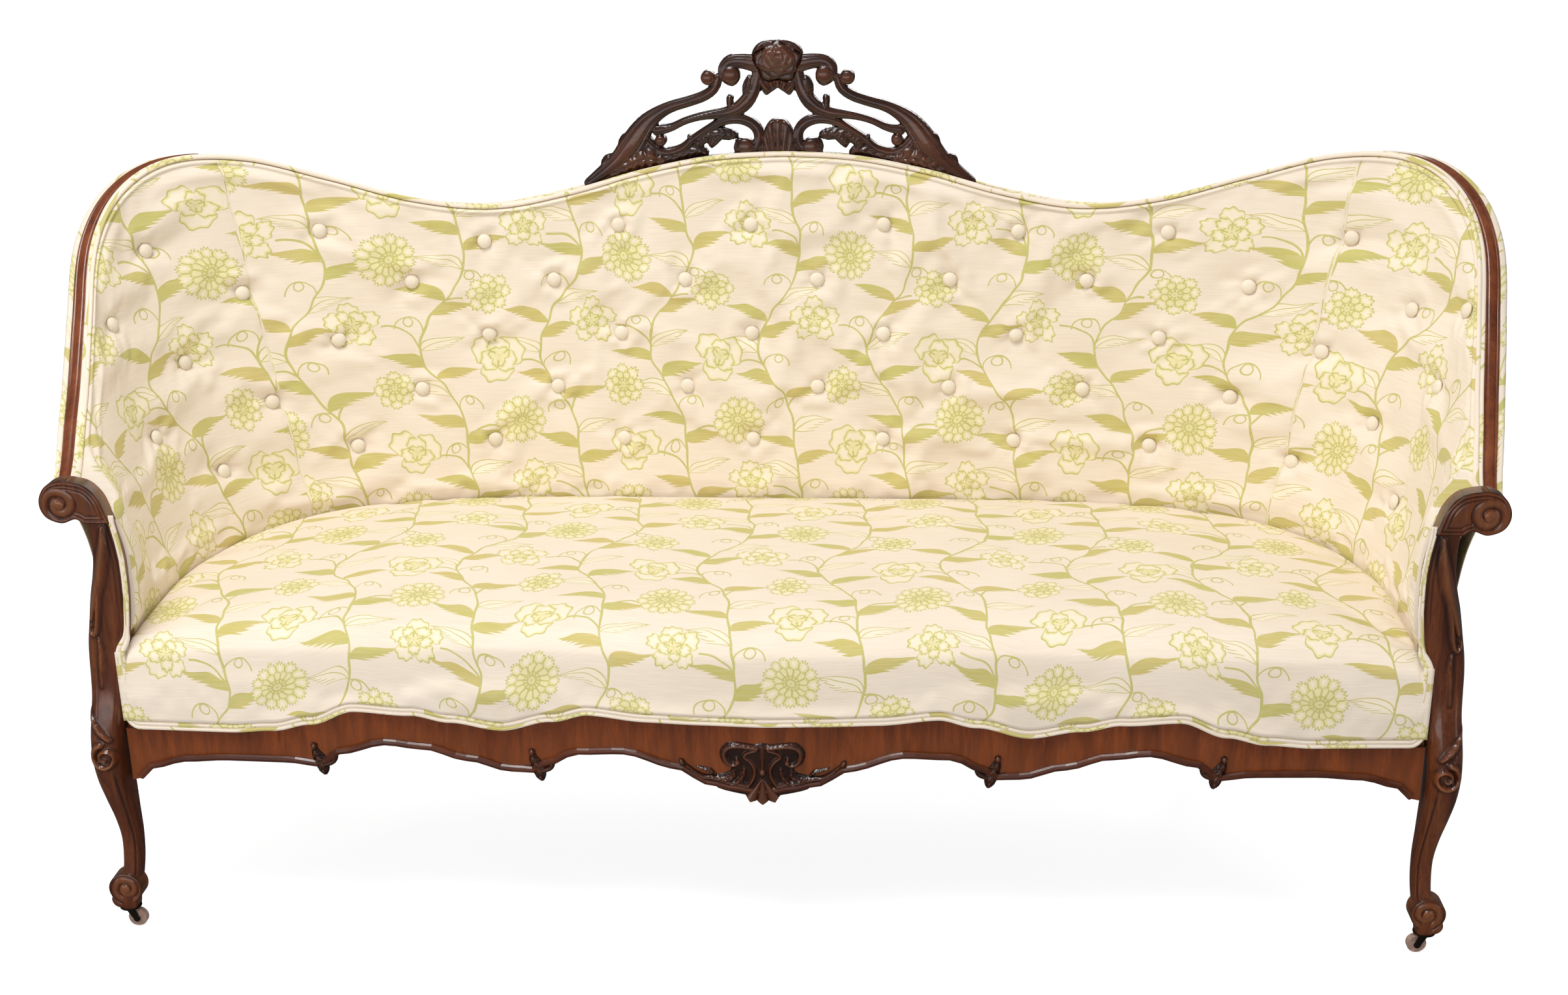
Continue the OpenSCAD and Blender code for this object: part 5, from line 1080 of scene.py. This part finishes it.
# Vines are a sum of two sines; flowers are polar curves of a power of the sine; leaves lie under a bowed sine
def printedLinen(name):
    material, add = newMaterial(name)
    wide, tall = prints["vines"], prints["rows"]

    def within(value, width):
        return add("LESS_THAN", add("ABSOLUTE", value), width)

    def length(first, second):
        return add("VectorMath", add("CombineXYZ", first, second), out=1, operation="LENGTH")

    def ring(x, z, r, width):
        return within(add("SUBTRACT", length(x, z), r), width)

    def sway(height):
        slow = add("MULTIPLY", add("SINE", add("MULTIPLY", height, math.tau / (4 * tall))), prints["sway"])
        return add("MULTIPLY_ADD", add("SINE", add("MULTIPLY_ADD", height, math.tau / (2 * tall), 1.0)),
                   prints["sway"] * 0.38, slow)

    cloth = add("VectorMath", {0: add("UVMap", uv_map="cloth"), 3: 1000.0}, operation="SCALE")
    threads = add("VectorMath", cloth, (0.022, 0.55, 1), operation="MULTIPLY")
    slub = add("TexNoise", {"Vector": threads, "Scale": 1.0, "Detail": 3})
    stain = add("TexNoise", {"Vector": cloth, "Scale": 0.006, "Detail": 2})
    tone = add("MULTIPLY_ADD", stain, 0.4, add("MULTIPLY", slub, 0.6))
    ground = add("ValToRGB", tone, stops=[(0.36, prints["shade"]), (0.62, prints["ground"])])
    sheet = add("VectorMath", {0: cloth, 3: 1 / prints["drawn"]}, operation="SCALE")
    wave = add("TexNoise", {"Vector": sheet, "Scale": 0.017, "Detail": 1}, out=1)
    wave = add("VectorMath", wave, (0.5, 0.5, 0.5), operation="SUBTRACT")
    wave = add("VectorMath", {0: wave, 3: prints["wobble"]}, operation="SCALE")
    x, z = add("SeparateXYZ", add("VectorMath", sheet, wave)).node.outputs[:2]

    # One motif stands in each cell between two vines, growing from the left or the right one
    straight = add("SUBTRACT", x, sway(z))
    band = add("FLOOR", add("DIVIDE", straight, wide))
    odd = add("FLOORED_MODULO", band, 2.0)
    row = add("FLOOR", add("DIVIDE", add("MULTIPLY_ADD", odd, prints["stagger"], z), tall))
    side = add("FLOORED_MODULO", row, 2.0)
    foot = add("MULTIPLY_ADD", odd, -prints["stagger"], add("MULTIPLY_ADD", row, tall, 10.0))
    vineX = add("MULTIPLY_ADD", add("ADD", band, side), wide, sway(foot))
    dx = add("MULTIPLY", add("SUBTRACT", x, vineX), add("MULTIPLY_ADD", side, -2.0, 1.0))
    dz = add("SUBTRACT", z, foot)
    kind = add("DIVIDE", add("FLOORED_MODULO", add("MULTIPLY_ADD", odd, 2.0, row), 4.0), 4.0)
    size, petals, deep = add("SeparateXYZ", add("ValToRGB", kind, stops=flowers, mode="CONSTANT")).node.outputs
    size, petals = add("MULTIPLY", size, 100.0), add("MULTIPLY", petals, 20.0)
    fx, fz = add("SUBTRACT", dx, prints["flowerX"]), add("SUBTRACT", dz, prints["flowerZ"])
    r = length(fx, fz)
    half = add("MULTIPLY", add("ADD", add("ARCTAN2", fz, fx), 0.35), add("MULTIPLY", petals, 0.5))
    fringe = add("MULTIPLY_ADD", add("SINE", add("MULTIPLY", half, 8.0)), 0.045, 1.0)
    s, c = (add("ABSOLUTE", add(op, half)) for op in ("SINE", "COSINE"))
    reach = add("MULTIPLY", size, fringe)
    outer, inner = (add("DIVIDE", r, add("MULTIPLY", reach, add("MULTIPLY_ADD", deep, add(
        "SUBTRACT", add("POWER", q, 0.7), 1.0), 1.0))) for q in (s, c))
    bloom = add("LESS_THAN", outer, 1.0)
    spoke = add("MULTIPLY_ADD", add("SUBTRACT", c, s), add("LESS_THAN", inner, prints["heart"]), s)
    spoke = add("DIVIDE", add("MULTIPLY", add("MULTIPLY", r, 2.0), spoke), petals)
    gap, heart, eye = (add("ABSOLUTE", add("SUBTRACT", curve, at)) for curve, at in (
        (outer, 1.0), (inner, prints["heart"]), (outer, prints["eye"])))
    gap = add("MULTIPLY", add("MINIMUM", gap, add("MINIMUM", heart, eye)), size)
    gap = add("MINIMUM", gap, add("ADD", spoke, add("LESS_THAN", outer, 0.14)))
    lines = add("MULTIPLY", add("LESS_THAN", gap, prints["lineWide"]), add("LESS_THAN", outer, 1.03))
    stalk = ring(add("SUBTRACT", dx, 45.0), add("ADD", dz, 10.0), 46.0, 1.5)
    stalk = add("MULTIPLY", stalk, add("MULTIPLY", add("LESS_THAN", dx, 52.0), add("GREATER_THAN", dz, 0.0)))

    # Comb-edged leaves and tendrils stand on both sides of each vine
    vine = add("ROUND", add("DIVIDE", straight, wide))
    off = add("MULTIPLY_ADD", vine, -wide, straight)
    right = add("GREATER_THAN", off, 0.0)
    other = add("FLOORED_MODULO", vine, 2.0)
    shift = add("MULTIPLY_ADD", right, 26.0, add("MULTIPLY", other, 17.0))
    row = add("FLOOR", add("DIVIDE", add("ADD", z, shift), tall / 2))
    foot = add("SUBTRACT", add("MULTIPLY", row, tall / 2), shift)
    vineX = add("MULTIPLY_ADD", vine, wide, sway(foot))
    ex = add("MULTIPLY", add("SUBTRACT", x, vineX), add("MULTIPLY_ADD", right, 2.0, -1.0))
    ez = add("SUBTRACT", z, foot)
    pick = add("FLOORED_MODULO", add("ADD", row, add("MULTIPLY_ADD", right, 2.0, other)), 4.0)
    a = add("MULTIPLY_ADD", ex, 0.62, add("MULTIPLY", ez, 0.78))
    b = add("MULTIPLY_ADD", ez, 0.62, add("MULTIPLY", ex, -0.78))
    b = add("MULTIPLY_ADD", add("MULTIPLY", a, a), 0.011, b)
    t = add("Clamp", add("DIVIDE", a, prints["leafLong"]))
    broad = add("MULTIPLY", add("SINE", add("MULTIPLY", add("POWER", t, 0.75), math.pi)), prints["leafWide"])
    comb = add("FRACT", add("DIVIDE", add("MULTIPLY_ADD", b, 0.7, a), prints["comb"]))
    top = add("SUBTRACT", add("MULTIPLY", broad, 0.55), b)
    low = add("ADD", add("MULTIPLY", broad, add("MULTIPLY_ADD", comb, 0.42, 0.62)), b)
    edgeFar = add("MINIMUM", top, low)
    leaf = add("MULTIPLY", add("GREATER_THAN", edgeFar, 0.0), add("GREATER_THAN", pick, 0.5))
    hollow = add("MULTIPLY", add("GREATER_THAN", edgeFar, 1.7), add("COMPARE", pick, 2.0, 0.1))
    hollow = add("MULTIPLY", hollow, add("GREATER_THAN", add("ABSOLUTE", add("ADD", b, 1.0)), 0.7))
    arc = add("MULTIPLY", ring(add("SUBTRACT", ex, 19.0), add("SUBTRACT", ez, 6.0), 20.0, 1.0),
              add("GREATER_THAN", ez, 5.0))
    loop = ring(add("SUBTRACT", ex, 20.0), add("SUBTRACT", ez, 18.0), 7.0, 1.0)
    tendril = add("MULTIPLY", add("MAXIMUM", arc, loop), add("LESS_THAN", pick, 0.5))
    stems = add("MAXIMUM", add("MAXIMUM", within(off, prints["stemWide"]), stalk), tendril)
    tint = add("ValToRGB", stain, stops=[(0.4, prints["leaf"]), (0.62, prints["gold"])])
    hearts = add("ValToRGB", add("MULTIPLY", gap, 0.1), stops=[(0.16, prints["petal"]), (0.34, prints["petal"]),
                                                               (0.44, prints["pale"])])
    line = linear(prints["line"])
    colour = ground
    for share, over in ((leaf, tint), (hollow, linear(prints["pale"])), (stems, line), (bloom, hearts), (lines, line)):
        colour = add("Mix", {0: share, 6: colour, 7: over}, out=2, data_type="RGBA")
    inked = add("ValToRGB", slub, stops=[(0.3, 0.72), (0.6, 0.96)])
    colour = add("Mix", {0: inked, 6: ground, 7: colour}, out=2, data_type="RGBA")
    warp, weft = (add("SINE", add("MULTIPLY", way, math.tau / prints["thread"]))
                  for way in add("SeparateXYZ", cloth).node.outputs[:2])
    height = add("MULTIPLY_ADD", add("MULTIPLY", warp, weft), 0.3, slub)
    bump = add("Bump", {"Height": height, "Strength": 0.3, "Distance": 0.0004})
    rough = add("ValToRGB", slub, stops=[(0.3, 0.95), (0.7, 0.78)])
    shader = add("BsdfPrincipled", {"Base Color": colour, "Roughness": rough, "Normal": bump,
                                    "Sheen Weight": 0.12, "Sheen Roughness": 0.5})
    add("OutputMaterial", {"Surface": shader})
    return material


# Polished wood: noise stretched along the axis with the smallest grain number gives fibres, bands and pores, drawn
# coarse to show. Convex edges are rubbed pale, and where a piece is carved its recesses get painted shade and its
# raised tops a painted highlight
def woodFinish(name, colours, grain, figure, gloss, carved=False, coat=0.55):
    material, add = newMaterial(name)
    place = add("VectorMath", {0: add("TexCoord", out=3), 3: 100.0}, operation="SCALE")
    fibre, bands, pores = (
        add("TexNoise", {"Vector": add("VectorMath", place, tuple(by * v for v in stretch), operation="MULTIPLY"),
                         "Scale": 1.0, **more})
        for by, stretch, more in ((1, grain, {"Detail": 7, "Roughness": 0.6, "Distortion": 0.5}),
                                  (10, figure, {"Detail": 4, "Distortion": 1.2}), (6, grain, {"Detail": 2})))
    tone = add("MULTIPLY_ADD", bands, 0.6, add("MULTIPLY", fibre, 0.45))
    colour = add("ValToRGB", tone, stops=[(0.34, colours[0]), (0.5, colours[1]), (0.68, colours[2])])
    layers = [(pores, [(0.3, 0.55), (0.42, 0.0)], colours[0]),
              (add("NewGeometry", out=7), [(0.52, 0.0), (0.62, 0.45)], colours[3])]
    if carved:
        # Carved pieces: painted shade, near black, where the relief value is low (hollows, grooves and round the
        # strokes), and a painted highlight where it is high (raised tops)
        relief = add("Attribute", out=2, attribute_name="relief")
        layers += [(relief, [(0.05, 0.9), (0.5, 0.18), (0.75, 0.0)], "#170a06"),
                   (relief, [(0.66, 0.0), (1.0, 0.3)], colours[3])]
    for source, stops, over in layers:
        share = add("ValToRGB", source, stops=stops)
        colour = add("Mix", {0: share, 6: colour, 7: linear(over)}, out=2, data_type="RGBA")
    rough = add("ValToRGB", fibre, stops=[(0.3, gloss[1]), (0.7, gloss[0])])
    height = add("MULTIPLY_ADD", pores, -0.4, fibre)
    bump = add("Bump", {"Height": height, "Strength": 0.12, "Distance": 0.0006})
    shader = add("BsdfPrincipled", {"Base Color": colour, "Roughness": rough, "Normal": bump,
                                    "Specular IOR Level": 0.35, "Coat Weight": coat, "Coat Roughness": 0.14})
    add("OutputMaterial", {"Surface": shader})
    return material


# Plain stuffs: mottled and gritty, with a weave of sines at the given thread in millimetres or none
def plainFinish(name, dark, light, rough, metal=0.0, thread=0.0, lumps=0.02, bumpy=0.3, sheen=0.0):
    material, add = newMaterial(name)
    place = add("VectorMath", {0: add("TexCoord", out=3), 3: 1000.0}, operation="SCALE")
    mottle = add("TexNoise", {"Vector": place, "Scale": lumps, "Detail": 4})
    grit = add("TexNoise", {"Vector": place, "Scale": 0.8, "Detail": 3})
    height = grit
    if thread:
        lines = [add("SINE", add("MULTIPLY", way, math.tau / thread))
                 for way in add("SeparateXYZ", place).node.outputs]
        height = add("MULTIPLY_ADD", add("ADD", add("ADD", *lines[:2]), lines[2]), 0.3, grit)
    tone = add("MULTIPLY_ADD", grit, 0.4, add("MULTIPLY", mottle, 0.6))
    shader = add("BsdfPrincipled", {
        "Base Color": add("ValToRGB", tone, stops=[(0.35, dark), (0.65, light)]), "Metallic": metal,
        "Normal": add("Bump", {"Height": height, "Strength": bumpy, "Distance": 0.0005}), "Sheen Weight": sheen,
        "Roughness": add("ValToRGB", mottle, stops=[(0.3, rough[0]), (0.7, rough[1])])})
    add("OutputMaterial", {"Surface": shader})
    return material


# Woods give their colours from pores to rubbed edges, whose colour also paints the highlight on carved tops, then grain
# and figure as stretches, and gloss as two roughnesses
finish = {
    # Soft pale cloth with green and gold print; the piping is cut from the same
    "printed": printedLinen("printed_linen"),
    "cord": printedLinen("linen_piping"),
    # Plain cream linen drawn tight over the moulds, a little smoother than the cover
    "button": plainFinish("button_linen", "#e6d8c0", "#f1e5d2", (0.92, 0.8), thread=1.3, bumpy=0.25, sheen=0.15),
    # Red-brown veneer whose short upright grain glows under the polish
    "rail": woodFinish("crossbanded_mahogany", ["#32130a", "#5c260f", "#803c17", "#9a5428"], (1.3, 1.3, 0.12),
                       (0.05, 0.01, 0.008), (0.2, 0.36)),
    # Warm brown, with painted shade in the hollows and ridges made pale by painted highlight and rubbing
    "post": woodFinish("carved_mahogany", ["#2f150b", "#5b2c16", "#7b4424", "#9d6842"], (1.4, 1.4, 0.1),
                       (0.012, 0.012, 0.004), (0.22, 0.36), True),
    # Nearly black painted shade in the cuts, a dull brown shine and painted highlight on top
    "crest": woodFinish("dark_carved_mahogany", ["#1d0d07", "#37190d", "#502814", "#7a4a30"], (0.1, 1.4, 1.4),
                        (0.01, 0.01, 0.01), (0.26, 0.42), True),
    # A thin dark line with a bright streak along it
    "bead": woodFinish("dark_polished_mahogany", ["#260e07", "#42190c", "#5c2b13", "#8a5030"], (0.1, 1.4, 1.4),
                       (0.01, 0.01, 0.01), (0.22, 0.4)),
    # Lighter and redder, faded by hands and sun
    "wing": woodFinish("show_wood_mahogany", ["#4f240f", "#74391b", "#8d4c2a", "#a8683e"], (1.2, 1.2, 0.12),
                       (0.01, 0.01, 0.005), (0.26, 0.4)),
    # Darker and plainer than the front posts, with no carving
    "leg": woodFinish("stained_mahogany", ["#260f07", "#47200f", "#633118", "#86502e"], (1.4, 1.4, 0.1),
                      (0.012, 0.012, 0.004), (0.26, 0.44)),
    # Pale dry wood, straight from the saw and without polish
    "beech": woodFinish("sawn_beech", ["#a9855a", "#c4a075", "#d2b48b", "#dcc39f"], (0.1, 1.6, 1.6),
                        (0.01, 0.01, 0.01), (0.65, 0.85), False, 0.0),
    # Coarse brown weave, quite dull
    "jute": plainFinish("jute_weave", "#8a6f47", "#b3945f", (0.95, 0.85), thread=3.2, bumpy=0.6),
    # Dull black with a fine weave
    "cambric": plainFinish("black_cambric", "#0f0f10", "#1f1e1e", (0.95, 0.82), thread=1.6, sheen=0.2),
    # Brown grey wire with a soft metal shine
    "steel": plainFinish("coppered_spring_steel", "#6b5a4c", "#8d7a66", (0.45, 0.3), metal=1.0, bumpy=0.1),
    # Black lacquer over rough iron, brown where it wears
    "iron": plainFinish("japanned_iron", "#1b1613", "#3a302a", (0.55, 0.35), metal=0.75, bumpy=0.35),
    # Chalky brown china, scuffed by the floor
    "wheel": plainFinish("worn_brown_wheel", "#8a6a5c", "#b79a8a", (0.6, 0.42), lumps=0.15, bumpy=0.25)}
print("finishes ready")

# Which CAD nodes each piece stands for, its finish and its slot name
outsides = [cut[0] for cut in outsideCuts]
for piece, nodes, key, slot, angle in (
        (inside, ("back_cover", "back_pad"), "printed", "printed_linen", None),
        (seat, ("seat_cover", "seat_pad"), "printed", "printed_linen", None),
        (outsides[0], ("outside_back",), "printed", "printed_linen", None),
        (outsides[1], ("outside_arm_left",), "printed", "printed_linen", None),
        (outsides[2], ("outside_arm_right",), "printed", "printed_linen", None),
        (seatCord, ("seat_welt",), "cord", "printed_linen", None),
        (backCord, ("back_welt",), "cord", "printed_linen", None),
        (studs, ("tufting_buttons",), "button", "printed_linen", None),
        (wings[0], ("wing_moulding_left",), "wing", "mahogany", 50),
        (wings[1], ("wing_moulding_right",), "wing", "mahogany", 50),
        (crest, ("crest",), "crest", "carved_mahogany", 62),
        (posts[0], ("front_post_left",), "post", "mahogany", 62),
        (posts[1], ("front_post_right",), "post", "mahogany", 62),
        (scrolls[0], ("arm_scroll_left",), "post", "mahogany", 62),
        (scrolls[1], ("arm_scroll_right",), "post", "mahogany", 62),
        (shell, ("apron_shell",), "crest", "carved_mahogany", 62),
        (drops, ("apron_drops",), "crest", "carved_mahogany", 62),
        (dust, ("dust_cover",), "cambric", "black_cambric", None)):
    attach(piece, "frame")
    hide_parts(*nodes)
    shade(piece, finish[key], angle)

# Finishes of the CAD nodes that stay
nodeFinish = {"front_rail": "rail", "apron_bead": "bead", "seat_webbing": "jute", "seat_hessian": "jute",
              "back_hessian": "jute", "seat_springs": "steel", "corner_screws": "iron", "back_leg_left": "leg",
              "back_leg_right": "leg"}
for name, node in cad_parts.items():
    if not node.hide_render:
        plain = "wheel" if "wheel" in name else "iron" if "caster" in name else "beech"
        shade(node, finish[nodeFinish.get(name, plain)], 35)

# Stage: white floor, soft lamps and the camera. Floor and world give a base, and what mirror rays and the camera add
studio = {"floor": 0.55, "floorMirror": -0.46, "glow": 0.78, "world": 0.5, "worldCamera": 0.5, "worldMirror": -0.4}
scene = bpy.context.scene
bpy.ops.mesh.primitive_plane_add(size=30, location=(0, 0, -0.0005))
floor = bpy.context.object
floor.name = "studio_floor"
material, add = newMaterial("studio_white")
dimmed = add("MULTIPLY_ADD", add("LightPath", out=3), studio["floorMirror"], studio["floor"])
glow = add("Emission", {"Color": (1, 1, 1, 1), "Strength": add("MULTIPLY", add("LightPath"), studio["glow"])})
add("OutputMaterial", {"Surface": add("AddShader", add("BsdfDiffuse", {"Color": dimmed}), glow)})
shade(floor, material)
world = bpy.data.worlds.new("studio")
scene.world = world
world.use_nodes = True
add = partial(addNode, world.node_tree)
background = world.node_tree.nodes["Background"]
background.inputs[0].default_value = (1, 1, 1, 1)
sky = add("MULTIPLY_ADD", add("LightPath"), studio["worldCamera"], studio["world"])
sky = add("MULTIPLY_ADD", add("LightPath", out=3), studio["worldMirror"], sky)
world.node_tree.links.new(sky, background.inputs[1])


# Puts a lamp or the camera in the scene by its right, up and back directions and its place
def setUp(name, data, axes, place):
    thing = bpy.data.objects.new(name, data)
    scene.collection.objects.link(thing)
    thing.matrix_world = Matrix([[*(axis[k] for axis in axes), place[k]] for k in range(3)] + [[0, 0, 0, 1]])
    return thing


# Each lamp: place, width and height in metres, power in watts and what it is aimed at
lamps = {"key_lamp": ((-0.9, -1.4, 4.5), (1.8, 1.8), 118, (0, 0, 0.5)),
         "front_lamp": ((-0.8, -2.5, 0.9), (3.2, 0.8), 17, (-0.1, 0, 0.35)),
         "back_lamp": ((0.6, 3.0, 2.3), (2.5, 1.5), 45, (0, 0, 0.6)),
         "left_strip": ((-3.2, -2.0, 1.1), (0.35, 2.2), 5, (-0.9, -0.3, 0.4)),
         "right_strip": ((3.2, -2.0, 1.1), (0.35, 2.2), 5, (0.9, -0.3, 0.4))}
for name, (place, size, power, aim) in lamps.items():
    lamp = bpy.data.lights.new(name, "AREA")
    lamp.shape, lamp.energy = "RECTANGLE", power
    lamp.size, lamp.size_y = size
    back = np.array(place) - np.array(aim)
    back = back / np.linalg.norm(back)
    right = np.cross([0, 0, 1], back)
    right /= np.linalg.norm(right)
    setUp(name, lamp, (right, np.cross(back, right), back), place)

# Place in metres, lens in millimetres, angles in degrees, all fitted to the photograph's view
camera = {"place": (0.181, -2.670778, 1.482), "lens": 45.389, "turn": 3.61, "tilt": 19.83, "roll": -0.78}
psi, pitch, roll = (math.radians(camera[k]) for k in ("turn", "tilt", "roll"))
right = np.array([math.cos(psi), math.sin(psi), 0])
up = np.array([-math.sin(psi) * math.sin(pitch), math.cos(psi) * math.sin(pitch), math.cos(pitch)])
back = np.array([math.sin(psi) * math.cos(pitch), -math.cos(psi) * math.cos(pitch), math.sin(pitch)])
right, up = math.cos(roll) * right + math.sin(roll) * up, -math.sin(roll) * right + math.cos(roll) * up
view = bpy.data.cameras.new("studio_camera")
view.lens, view.sensor_width, view.sensor_fit = camera["lens"], 36, "HORIZONTAL"
view.clip_end = 60
scene.camera = setUp("studio_camera", view, (right, up, back), camera["place"])
scene.view_settings.view_transform = "Standard"

print("stage ready")
